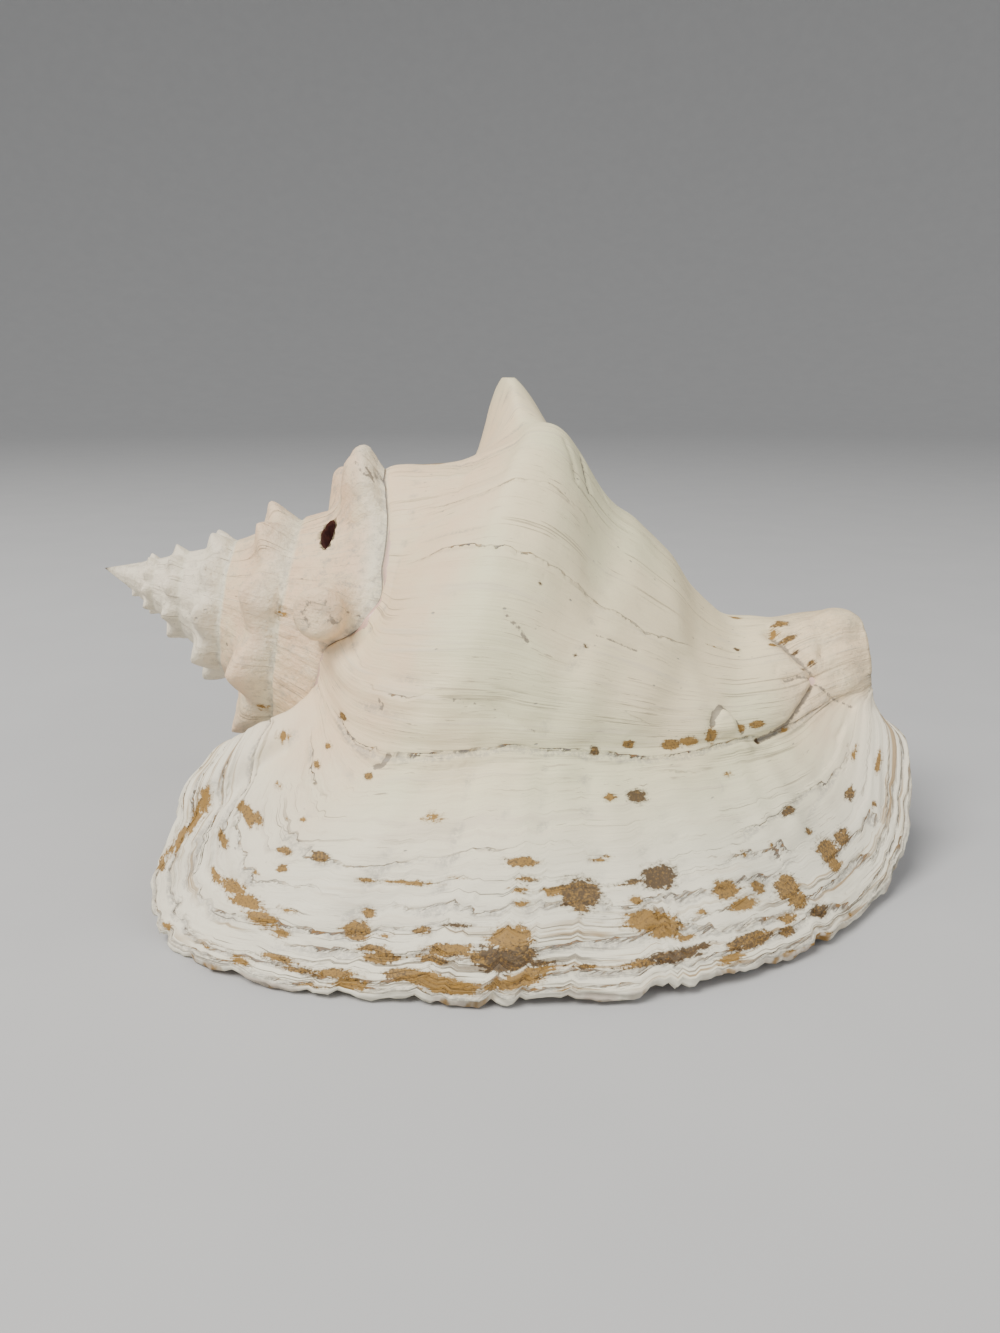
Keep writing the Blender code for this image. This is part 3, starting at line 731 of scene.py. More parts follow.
# stains of the outside, read off the photo: pixel, half-length along the growth
# lines and half-width across them in millimetres, strength, darkness
STAINS = (
    (595, 750, 1.6, 1.3, 1.1, 0.8), (630, 745, 1.8, 1.3, 1.1, 0.5), (672, 744, 3, 1.5, 1.1, 0.35),
    (690, 741, 3.4, 1.6, 1.1, 0.3), (712, 735, 2.4, 2.3, 1.1, 0.3), (756, 724, 3.4, 1.1, 1.1, 0.4),
    (740, 728, 2.2, 1.2, 1, 0.3), (759, 741, 1.4, 1, 1.1, 1), (730, 773, 2.2, 1, 0.8, 0.3),
    (609, 799, 2.2, 1.3, 1, 0.4), (635, 797, 3, 2, 1.2, 0.9), (607, 858, 1.8, 0.9, 0.8, 0.4),
    (598, 860, 3.4, 0.8, 0.7, 0.4), (771, 845, 1.5, 1.3, 0.8, 0.3), (744, 855, 2.4, 1.4, 0.9, 0.4),
    (788, 811, 3.6, 1.7, 1.1, 0.8), (808, 832, 1.6, 1.3, 1, 0.6), (849, 794, 3, 1.8, 1.05, 0.7),
    (872, 805, 1.7, 1.3, 0.8, 0.4), (855, 753, 3.2, 1.2, 0.7, 0.3), (878, 762, 4.6, 1.3, 0.8, 0.3),
    (830, 850, 4.2, 4.2, 1.2, 0.5), (842, 838, 3.4, 3, 1.1, 0.6), (836, 862, 3.4, 2.6, 1, 0.4),
    (580, 893, 5.6, 3.8, 1.25, 0.7), (578, 905, 2.6, 3, 1.1, 0.6), (552, 893, 3.4, 1.6, 0.8, 0.3),
    (521, 889, 3.6, 1, 0.7, 0.3), (658, 878, 5, 3.2, 1.25, 0.9), (640, 883, 6, 1, 0.9, 0.8),
    (622, 885, 5, 0.9, 0.8, 0.6), (636, 901, 2.6, 1.4, 1, 0.3), (725, 892, 4.4, 2.6, 1.15, 0.4),
    (759, 887, 3, 2, 1, 0.4), (790, 885, 4.6, 3.6, 1.25, 0.5), (800, 898, 3.6, 2.6, 1.1, 0.4),
    (741, 906, 5.6, 2, 1, 0.2), (702, 913, 1.8, 1, 1, 0.3), (650, 921, 7, 2.6, 1.2, 0.3),
    (668, 928, 5, 2.6, 1.2, 0.3), (682, 938, 3.6, 1, 1, 0.3), (786, 918, 4.2, 1.8, 1, 0.4),
    (820, 912, 3.8, 2, 1.1, 0.8), (790, 930, 3.6, 1.6, 1, 0.6), (753, 938, 6.6, 2, 1.2, 0.6),
    (735, 944, 3, 1.6, 1, 0.6), (673, 957, 8.6, 1.5, 1.2, 0.9), (700, 948, 4.2, 1, 1, 0.9),
    (645, 962, 6.5, 1, 1, 0.5), (852, 915, 1.6, 1.2, 0.9, 0.4), (731, 959, 4.6, 1.4, 0.9, 0.2),
    (790, 957, 3, 1, 0.8, 0.2), (830, 944, 3, 1, 0.7, 0.2), (344, 716, 2.4, 1, 1.1, 0.6),
    (326, 746, 1.7, 1, 1, 0.4), (314, 764, 1.6, 1.1, 1, 0.3), (368, 774, 1.7, 1, 1.15, 0.5),
    (280, 785, 1.6, 1.2, 0.8, 0.3), (246, 815, 3.6, 1.8, 1.15, 0.3), (240, 806, 2, 1.6, 1, 0.3),
    (256, 820, 2.4, 1.4, 1, 0.4), (222, 837, 3, 1.2, 1.1, 0.3), (302, 817, 1.7, 1, 0.8, 0.3),
    (287, 817, 1.8, 0.9, 0.7, 0.2), (283, 850, 3.2, 1.2, 1.1, 0.5), (319, 858, 2.8, 1.5, 1.2, 0.6),
    (280, 867, 1.9, 1.2, 1.1, 0.4), (255, 871, 2.6, 1, 0.8, 0.2), (431, 816, 3.6, 1.8, 0.7, 0.1),
    (205, 802, 4.6, 1.7, 1, 0.2), (192, 818, 4.6, 1.7, 1, 0.2), (178, 835, 4, 1.7, 1, 0.2),
    (168, 848, 2.6, 1.6, 0.9, 0.2), (160, 862, 2.6, 1.7, 1, 0.3), (165, 925, 3.4, 1.2, 0.8, 0.2),
    (215, 874, 3.4, 1.4, 0.9, 0.3), (230, 886, 5.4, 2, 1.05, 0.3), (246, 900, 5.8, 2.2, 1.1, 0.3),
    (262, 918, 5.4, 2.2, 1.1, 0.3), (276, 932, 3.2, 1.4, 0.9, 0.3), (288, 910, 4, 1, 0.8, 0.3),
    (357, 928, 3.8, 3, 1.15, 0.4), (369, 913, 2, 1.8, 0.9, 0.4), (384, 936, 3, 1, 0.8, 0.3),
    (424, 933, 2.6, 1.2, 1, 0.5), (410, 881, 8.5, 0.9, 0.85, 0.3), (366, 881, 3.8, 0.9, 0.8, 0.4),
    (455, 877, 4, 0.8, 0.6, 0.2), (455, 925, 5, 0.9, 0.8, 0.9), (510, 937, 5.2, 3.2, 1.25, 0.3),
    (500, 961, 7.2, 2.9, 1.25, 0.85), (523, 953, 3.4, 2.4, 1.1, 0.7), (452, 949, 6.6, 1.7, 1.15, 0.4),
    (430, 957, 5, 1.4, 0.9, 0.5), (381, 958, 4.6, 2, 1.1, 0.4), (372, 948, 5, 1.2, 1, 0.5),
    (402, 975, 4.6, 1.8, 1.1, 0.5), (443, 983, 9, 1.9, 1.2, 0.2), (425, 978, 5.2, 1.6, 1.1, 0.2),
    (513, 982, 8.5, 1.7, 1, 0.3), (540, 972, 6, 1.3, 0.9, 0.3), (480, 958, 4, 2, 1, 0.5),
    (300, 970, 7, 1.1, 0.9, 0.5), (335, 975, 7, 1.3, 1, 0.4), (352, 984, 5.4, 1.8, 1, 0.2),
    (275, 958, 6.2, 1.3, 0.8, 0.3), (240, 960, 4.6, 1.3, 0.8, 0.1), (310, 985, 5, 1.2, 0.7, 0.1),
    (205, 945, 4, 1, 0.6, 0.2), (519, 862, 5, 1.4, 1, 0.4), (523, 905, 3, 1.2, 0.8, 0.2),
    (527, 880, 4, 1, 0.8, 0.5), (560, 890, 5, 0.8, 0.8, 0.5), (545, 962, 5, 1, 0.9, 0.8),
    (580, 965, 6, 0.9, 0.8, 0.6), (560, 990, 5, 1.2, 0.8, 0.2), (425, 458, 3.6, 1.1, 1.1, 0.3),
    (436, 453, 2.6, 1, 1, 0.3), (735, 618, 2.4, 1.3, 1.1, 0.2), (775, 632, 2, 2, 0.75, 0.1),
    (785, 640, 2.6, 1.2, 0.8, 0.6), (797, 650, 1.2, 0.9, 0.9, 0.9), (737, 649, 1.4, 0.8, 1, 0.9),
    (715, 647, 4.6, 0.5, 0.6, 0.3), (805, 668, 1.6, 0.9, 0.7, 0.9), (812, 690, 1.2, 0.8, 0.6, 0.5),
    (787, 729, 2, 1, 0.8, 0.1), (282, 612, 2.6, 3, 0.6, 0), (272, 640, 2.4, 2.2, 0.5, 0),
    (262, 708, 3, 3, 0.55, 0), (282, 735, 2, 2, 0.8, 0.1), (585, 645, 1, 0.8, 0.7, 1),
    (540, 585, 0.8, 0.8, 0.6, 1), (575, 655, 0.9, 0.7, 0.7, 1), (674, 580, 1, 0.8, 0.7, 0.8),
    (780, 627, 3.4, 1.6, 1, 0.5), (791, 637, 3, 1.5, 0.95, 0.6), (775, 645, 2, 1.3, 0.9, 0.4),
    (812, 662, 1.6, 1.2, 0.9, 0.7),
)


def photo_view(p):
    """Photo pixel and distance of points in the shell's own millimetres."""
    off = p - CAMERA_AT
    depth = off[..., 1] * math.cos(CAMERA_DOWN) - off[..., 2] * math.sin(CAMERA_DOWN)
    rise = off[..., 1] * math.sin(CAMERA_DOWN) + off[..., 2] * math.cos(CAMERA_DOWN)
    x = 0.5 * PHOTO_SIZE[0] + PHOTO_FOCAL * off[..., 0] / depth
    y = 0.5 * PHOTO_SIZE[1] - PHOTO_FOCAL * rise / depth
    return x, y, depth


class Finder:
    """Finds the point of the outside that the photo shows at a pixel."""

    def __init__(self, p, norm):
        facing = ((norm * (p - CAMERA_AT)).sum(axis=-1) < 0.0) & (np.abs(norm).sum(axis=-1) > 0.5)
        self.at = np.argwhere(facing)
        self.x, self.y, self.depth = photo_view(p[facing])

    def find(self, spot, reach=6.0):
        off = (self.x - spot[0]) ** 2 + (self.y - spot[1]) ** 2
        near = np.flatnonzero(off < 2.0 * reach ** 2)
        if len(near) == 0:
            near = np.flatnonzero(off < off.min() + 1.0)
        front = near[self.depth[near] < self.depth[near].min() + 8.0]
        best = front[np.argmin(off[front])]
        return tuple(self.at[best])


# blunt knobs, read off the photo: pixel, height, radius at the foot and at the top
KNOBS = (
    # broken front spine
    (318, 614, 4.2, 8.4, 3.8),
    (316, 612, -1.0, 3.2, 1.0),
    # broken spine of the spire
    (264, 602, 1.8, 5.0, 2.0),
    # tooth
    (724, 724, 1.3, 4.6, 1.4),
    # shoulder of the knob at the back
    (346, 480, 1.2, 9.0, 3.0),
    # lumps of the canal's lobe
    (836, 622, 3.0, 9.0, 2.5),
    (842, 655, 1.6, 8.0, 2.0),
    (804, 636, 1.8, 7.5, 1.5),
    (782, 626, 1.2, 5.0, 1.5),
    (850, 692, 1.8, 9.0, 2.0),
)


def fold_relief(p, finder):
    """Height of the folds, ridges and knobs, and the darkness painted along their lines: painted
    shade in the creases and grooves, dark in the cracks.
    """
    high = np.zeros(p.shape[:2])
    dark = np.zeros(p.shape[:2])
    for x, y, height, foot, top in KNOBS:
        away = np.linalg.norm(p - p[finder.find((x, y))], axis=2)
        high += height * smooth((foot - away) / (foot - top))
    for depth, width, tone, line in FOLDS:
        here = [p[finder.find(spot)] for spot in line]
        middle = np.mean(here, axis=0)
        size = max(np.linalg.norm(q - middle) for q in here)
        close = np.linalg.norm(p - middle, axis=2) < size + 4.0 * width + 2.0
        some = p[close]
        best = np.full(len(some), 1e9)
        for a, b in zip(here[:-1], here[1:]):
            way = b - a
            f = np.clip(((some - a) @ way) / (way @ way + 1e-9), 0.0, 1.0)
            best = np.minimum(best, np.linalg.norm(some - a - f[:, None] * way, axis=1))
        high[close] -= depth * np.exp(-(best / width) ** 2)
        drawn = tone * np.clip(1.0 - best / (0.55 * width + 1.2), 0.0, 1.0)
        dark[close] = np.maximum(dark[close], drawn)
    return high, dark


def stain_marks(p, way, finder):
    """Strength and darkness of the stains; way runs along the growth lines."""
    stain = np.zeros(p.shape[:2])
    tone = np.zeros(p.shape[:2])
    for x, y, half_u, half_s, strength, dark in STAINS:
        at = finder.find((x, y))
        close = np.linalg.norm(p - p[at], axis=2) < 2.6 * max(half_u, half_s)
        off = p[close] - p[at]
        along = off @ way[at]
        rest = np.sqrt(np.maximum((off * off).sum(axis=1) - along ** 2, 0.0))
        mark = strength * np.exp(-0.9 * ((along / half_u) ** 2 + (rest / half_s) ** 2))
        tone[close] = np.where(mark > stain[close], dark, tone[close])
        stain[close] = np.maximum(stain[close], mark)
    return stain, tone


# uneven spacing of the rows of the join, rows of an older whorl past the join, and
# columns from the lip that tell which way the rim looks and where the floor ends
ROW_WARP = 0.06
COVERED_ROWS = 3
RIM_BACK = 2
FLOOR_ROW_COLUMN = 20

# bites out of the lip: bites per t, seed, share that stays whole, where they start
# and how far they take to reach full depth, in degrees
LIP_BITES = (
    (11.0, 21, 0.40, 120.0, 30.0),
    (88.0, 23, 0.45, 141.0, 9.0),
)
LIP_BITE_DEPTH = 5.0

# length of the lip from which it has layers, and how much more until they are whole
LAYERS_FROM = 14.0
LAYERS_OVER = 34.0

# on the older whorls the scale across starts past the seam
SEAM_SHIFT = 0.8
SEAM_SHIFT_AT = -212.0
SEAM_SHIFT_OVER = 8.0

# relief of the oldest whorls, as a share of the relief of the last one
SMALL_LEAST = 0.15
SMALL_RELIEF = 0.25

# uneven edge of the rim: bulge, then height, pace, step per loop and seed of its noises
RIM_BULGE = 0.9
RIM_NOISES = ((1.5, 0.12, 2.7, 55), (0.8, 0.6, 1.3, 57))
RIM_CANAL_SHARE = 0.3
RIM_FIRST_KIND = 0.35

# labels of the cone that closes the spire
TIP_GROWN = 900.0
CAP_GROWN = 880.0
CAP_ACROSS = 6.0

# what every point carries along, and its value where none is given; kind is 0 on the
# outside, 1 on the inside and between them on the rim
LABELS = (
    ("grown", 0.0), ("across", 0.0), ("kind", 0.0), ("pit", 0.0), ("theta", 0.0), ("t", 0.0),
    ("layer", 0.0), ("layer_gap", 8.0), ("layer_edge", 0.0), ("crease", 0.0), ("stain", 0.0),
    ("stain_dark", 0.0),
)


class Points:
    """Collects the points of the shell and what each of them carries along."""

    def __init__(self):
        self.places = []
        self.tags = []
        self.total = 0

    def add(self, points, **values):
        shape = points.shape[:-1]
        count = points.reshape(-1, 3).shape[0]
        ids = np.arange(self.total, self.total + count).reshape(shape)
        self.places.append(points.reshape(-1, 3))
        rows = [np.broadcast_to(values.get(name, plain), shape) for name, plain in LABELS]
        self.tags.append(np.stack([row.reshape(-1) for row in rows], -1))
        self.total += count
        return ids


def unit(vectors):
    """The same directions with length 1."""
    return vectors / (np.linalg.norm(vectors, axis=-1, keepdims=True) + 1e-9)


def lip_bites(grid, t):
    """How far the broken edge of the lip falls back, in degrees."""
    out = np.zeros_like(t)
    for pace, seed, whole, start, span in LIP_BITES:
        bite = np.clip(fbm(t * pace, 0.0 * t, seed, 2) - whole, 0.0, 1.0) * LIP_BITE_DEPTH
        out = out + bite * np.clip((grid - start) / span, 0.0, 1.0) ** 2
    worn = smooth((t - 0.03) / 0.04) * (1.0 - smooth((t - 0.9) / 0.06))
    return out * worn


def build():
    """Points, labels and faces of the whole shell, and which points are one."""
    offsets = turn_offsets()
    n = len(offsets)
    last = TURNS * n
    first = last - n
    early = first - n
    back = np.arange(last, -1, -1)
    theta = LIP_ANGLE - (back // n) * 360.0 - offsets[back % n]
    deep = int(np.argmin(np.abs(theta - LIP_ANGLE + 180.0)))
    deep = first + (deep - first) // COARSE * COARSE
    joins = JOIN_ROWS
    rows = JOIN_ROWS + BODY_ROW_COUNT
    near = joins + COVERED_ROWS
    upper = np.linspace(0.0, 1.0, joins + 1)
    upper = upper + ROW_WARP * np.sin(2.0 * math.pi * upper)
    suture = curve(SUTURE, theta)[..., 0]
    t = np.empty((last + 1, rows + 1))
    t[:, :joins + 1] = suture[:, None] * upper[None, :]
    t[:, joins:] = suture[:, None] + (1.0 - suture[:, None]) * row_shares()[None, :]
    floor_row = int(np.argmin(np.abs(t[last - FLOOR_ROW_COLUMN] - CANAL_FLOOR_T))) // COARSE * COARSE
    grid = np.repeat(theta[:, None], rows + 1, 1)
    grid = grid - lip_bites(grid, t)

    # smooth surface; the hidden part of the older whorls is left out
    p = np.zeros((last + 1, rows + 1, 3))
    p[:early, :near] = outer(grid[:early, :near], t[:early, :near])
    p[early:] = outer(grid[early:], t[early:])
    for i in range(n, last + 1):
        stop = near if i < early else rows + 1
        gap = p[i - n, joins] - p[i, 0]
        w = smooth(1.0 - t[i, :stop] / WELD_T)
        p[i, :stop] = p[i, :stop] + gap * w[:, None]
    run = np.linalg.norm(np.diff(p, axis=0), axis=2)
    s = np.concatenate([np.cumsum(run[::-1], axis=0)[::-1], np.zeros((1, rows + 1))])
    s[:early, near:] = 0.0
    run = np.linalg.norm(np.diff(p, axis=1), axis=2)
    u = np.concatenate([np.zeros((last + 1, 1)), np.cumsum(run, axis=1)], axis=1)
    norm = np.zeros_like(p)
    norm[early:] = normals(p[early:])
    norm[:early, :near] = normals(p[:early + 1, :near])[:early]
    seen = (last - 60, joins + 40)
    if np.dot(norm[seen], p[seen] - (ORIGIN + SHOULDER * AXIS)) < 0.0:
        norm = -norm

    # relief, folds and stains
    finder = Finder(p, norm)
    folds, crease = fold_relief(p, finder)
    stain, stain_dark = stain_marks(p, unit(np.gradient(p, axis=1)), finder)
    radius = growth(theta)[:, 1]
    old = theta[first:]
    s_old = np.array([np.interp(OLD_EDGE_ANGLE, old, s[first:, j]) for j in range(rows + 1)])
    g = growth_scale(theta, s, s_old[None, :], np.clip(radius, 0.05, 1.0))
    room = smooth((s_old[None, :] - LAYERS_FROM) / LAYERS_OVER) + np.zeros_like(g)
    room = np.where(grid < OLD_EDGE_ANGLE - 3.0, 1.0, room)
    room = np.maximum(room, 0.9 * (1.0 - smooth((g - 5.0) / 4.0)))
    high, count, gap, plain = layer_relief(t, g, u, room)
    high = ripples(high, grid, t, g, u)
    level = np.arange(rows + 1)
    rise = SUTURE_RISE * smooth(level / 1.5) * (1.0 - smooth((level - 3.0) / 5.0))
    sink = SUTURE_SINK * smooth((level - joins + 3.0) / 3.0) * (level <= joins)
    small = np.clip(radius, SMALL_LEAST, 1.0)[:, None]
    high = high * (SMALL_RELIEF + (1.0 - SMALL_RELIEF) * small)
    high = high + rise[None, :] * small
    covered = np.arange(last + 1) < first
    high = high - np.where(covered[:, None], sink[None, :], 0.0) * small
    pit = soften(high) - high
    shown = p + norm * (high + folds)[..., None]
    seam_scale = u + SEAM_SHIFT * smooth((SEAM_SHIFT_AT - grid) / SEAM_SHIFT_OVER)
    points = Points()
    skin_ids = points.add(shown, grown=g, across=seam_scale, pit=pit, theta=grid, t=t,
                          layer=count, layer_gap=gap, layer_edge=plain, crease=crease,
                          stain=stain, stain_dark=stain_dark)

    # inner points
    thick = WALL + (LIP_WALL - WALL) * smooth((grid - OLD_EDGE_ANGLE) / 60.0)
    thick = thick * (0.55 + 0.45 * smooth((1.0 - t) / 0.15))
    inner_ids = points.add(p - norm * thick[..., None], grown=s, across=u, kind=1.0, theta=grid, t=t)
    cover = slice(deep - n, last - n + 1)
    sink = FLOOR_SINK * smooth((t[cover] - FLOOR_SINK_T) / (CANAL_FLOOR_T - FLOOR_SINK_T))
    sink = sink * smooth((theta[first] - grid[cover]) / 60.0)
    base = p[cover]
    a = (base - ORIGIN) @ AXIS
    centre = ORIGIN + a[..., None] * AXIS + bend(a)[..., None] * UP
    base = base + (centre - base) * sink[..., None] + norm[cover] * CALLUS
    floor_ids = points.add(base, grown=s[cover] - s[first, joins], across=u[cover], kind=1.0,
                           theta=grid[cover], t=t[cover])

    def floor_at(i, j):
        return floor_ids[np.asarray(i) - deep, j]

    # the rim, from the suture along the lip, the canal's end and its far edge
    path = [(last, j) for j in range(0, rows + 1)]
    path += [(i, rows) for i in range(last - 1, first - 1, -1)]
    path += [(first, j) for j in range(rows - 1, floor_row - 1, -1)]
    path_i, path_j = np.array(path).T
    where = [j / rows for j in range(0, rows + 1)]
    where += [1.0 + (last - i) / n for i in range(last - 1, first - 1, -1)]
    where += [2.0 + (rows - j) / (rows - floor_row) for j in range(rows - 1, floor_row - 1, -1)]
    outside = shown[path_i, path_j]
    inside = outside - norm[path_i, path_j] * thick[path_i, path_j][:, None]
    ahead = np.zeros_like(outside)
    lip_part = path_i == last
    ahead[lip_part] = (p[last] - p[last - RIM_BACK])[path_j[lip_part]]
    end_part = (path_j == rows) & ~lip_part
    ahead[end_part] = (p[:, rows] - p[:, rows - RIM_BACK])[path_i[end_part]]
    far_part = ~lip_part & ~end_part
    ahead[far_part] = (p[first] - p[first + RIM_BACK])[path_j[far_part]]
    ahead = unit(ahead)
    around = np.concatenate([[0.0], np.cumsum(np.linalg.norm(np.diff(outside, axis=0), axis=1))])
    loops = []
    for k in range(1, RIM_LOOPS + 1):
        f = k / RIM_LOOPS
        bulge = RIM_BULGE * math.sin(math.pi * f)
        for height, pace, step, seed in RIM_NOISES:
            bulge = bulge + height * (noise(around * pace, around * 0.0 + step * k, seed) - 0.5)
        if k == RIM_LOOPS:
            bulge = bulge * 0.0
        bulge = np.where(lip_part, bulge, RIM_CANAL_SHARE * bulge)
        loops.append(outside + (inside - outside) * f + ahead * bulge[:, None])
    loops = np.array(loops)
    kind = np.linspace(RIM_FIRST_KIND, 1.0, RIM_LOOPS)[:, None]
    rim_ids = points.add(loops, across=around[None, :], kind=kind, theta=LIP_ANGLE,
                         t=t[path_i, path_j][None, :])
    tip = points.add(ORIGIN[None, None, :], grown=TIP_GROWN, theta=APEX_ANGLE)[0, 0]
    ring = list(skin_ids[0:n:COARSE, 0]) + [skin_ids[0, j] for j in range(joins, 0, -1)]
    cap = points.add(np.concatenate(points.places)[ring], grown=CAP_GROWN, across=CAP_ACROSS,
                     theta=APEX_ANGLE)

    # points that are one
    weld = np.arange(points.total)
    weld[skin_ids[n:, 0]] = skin_ids[:-n, joins]
    weld[rim_ids[:, 0]] = floor_at(last, joins + 1)
    weld[rim_ids[:, -1]] = rim_ids[-1, -1]
    weld[cap] = weld[ring]
    quads = []
    tris = []

    def sheet(ids, flip=False):
        a, b, c, d = ids[:-1, :-1], ids[1:, :-1], ids[1:, 1:], ids[:-1, 1:]
        order = (a, d, c, b) if flip else (a, b, c, d)
        quads.append(np.stack([ids.reshape(-1) for ids in order], -1))

    # outside
    sheet(skin_ids[0:early + 1:COARSE, 0:joins + 1])
    sheet(skin_ids[early:first + 1, 1:joins + 1])
    wide = np.arange(early, first + 1, COARSE)
    fine = np.arange(early, first + 1)
    tris += zip_strip(skin_ids[wide, 0], skin_ids[fine, 1], wide, fine)
    sheet(skin_ids[first:last + 1])
    for k in range(len(ring)):
        tris.append((cap[(k + 1) % len(ring)], cap[k], tip))
    # rim
    edge_ids = skin_ids[path_i, path_j]
    sheet(np.concatenate([edge_ids[None, :], rim_ids]))
    cols = np.arange(first + COARSE, last - COARSE + 1, COARSE)
    roof_cols = np.arange(deep, last - COARSE + 1, COARSE)
    high_rows = np.arange(COARSE, rows - COARSE + 1, COARSE)
    inner = [floor_at(last - COARSE, joins + 1)]
    inner_at = [0.0]
    for j in high_rows:
        inner.append(inner_ids[last - COARSE, j])
        inner_at.append(j / rows)
    for i in cols[::-1][1:]:
        inner.append(inner_ids[i, rows - COARSE])
        inner_at.append(1.0 + (last - i) / n)
    for j in high_rows[::-1][1:]:
        if j >= floor_row:
            inner.append(inner_ids[first + COARSE, j])
            inner_at.append(2.0 + (rows - j) / (rows - floor_row))
    tris += zip_strip(list(rim_ids[-1]), inner, where, inner_at)
    # roof, wall of the canal, floor
    roof = inner_ids[np.ix_(roof_cols, high_rows)]
    top = floor_at(roof_cols, joins + 1)
    sheet(np.concatenate([top[:, None], roof], axis=1), True)
    wall_cols = np.arange(first + COARSE, deep + 1, COARSE)
    wall_rows = high_rows[high_rows >= floor_row]
    sheet(inner_ids[np.ix_(wall_cols, wall_rows)], True)
    floor_cols = np.arange(deep, last + 1, COARSE)
    floor_rows = np.array([joins + 1] + list(range(joins + COARSE, floor_row + 1, COARSE)))
    sheet(floor_ids[np.ix_(floor_cols - deep, floor_rows)])
    edge_rows = np.arange(joins, floor_row + 1)
    tris += zip_strip(skin_ids[first, edge_rows], floor_at(last, floor_rows), edge_rows, floor_rows)
    # the end of the pillar in the canal
    tris.append((skin_ids[first, floor_row], rim_ids[-1, -1], floor_at(last, floor_row)))
    one = [rim_ids[-1, -1]] + [inner_ids[i, floor_row] for i in wall_cols]
    two = [floor_at(i, floor_row) for i in floor_cols[::-1]]
    one_at = [0.0] + [theta[i] - theta[first] for i in wall_cols]
    two_at = [LIP_ANGLE - theta[i] for i in floor_cols[::-1]]
    tris += zip_strip(one, two, one_at, two_at)
    # the deep end of the hollow
    one = [floor_at(deep, joins + 1)] + [inner_ids[deep, j] for j in high_rows if j <= floor_row]
    two = [floor_at(deep, j) for j in floor_rows]
    tris += zip_strip(one, two, np.linspace(0, 1, len(one)), np.linspace(0, 1, len(two)))
    faces = np.concatenate(quads).tolist() + [list(ring) for ring in tris]
    return np.concatenate(points.places), np.concatenate(points.tags), faces, weld


def compact(places, labels, rings, weld):
    """Drops unused points; corners keep their own labels."""
    faces = []
    corners = []
    for ring in rings:
        ids = []
        own = []
        for c in ring:
            w = int(weld[c])
            if w not in ids:
                ids.append(w)
                own.append(int(c))
        if len(ids) > 2:
            faces.append(ids)
            corners.append(own)
    used = np.unique(np.concatenate([np.array(f) for f in faces]))
    new = np.full(int(used.max()) + 1, -1)
    new[used] = np.arange(len(used))
    faces = [[int(new[c]) for c in f] for f in faces]
    return places[used], labels[used], faces, corners


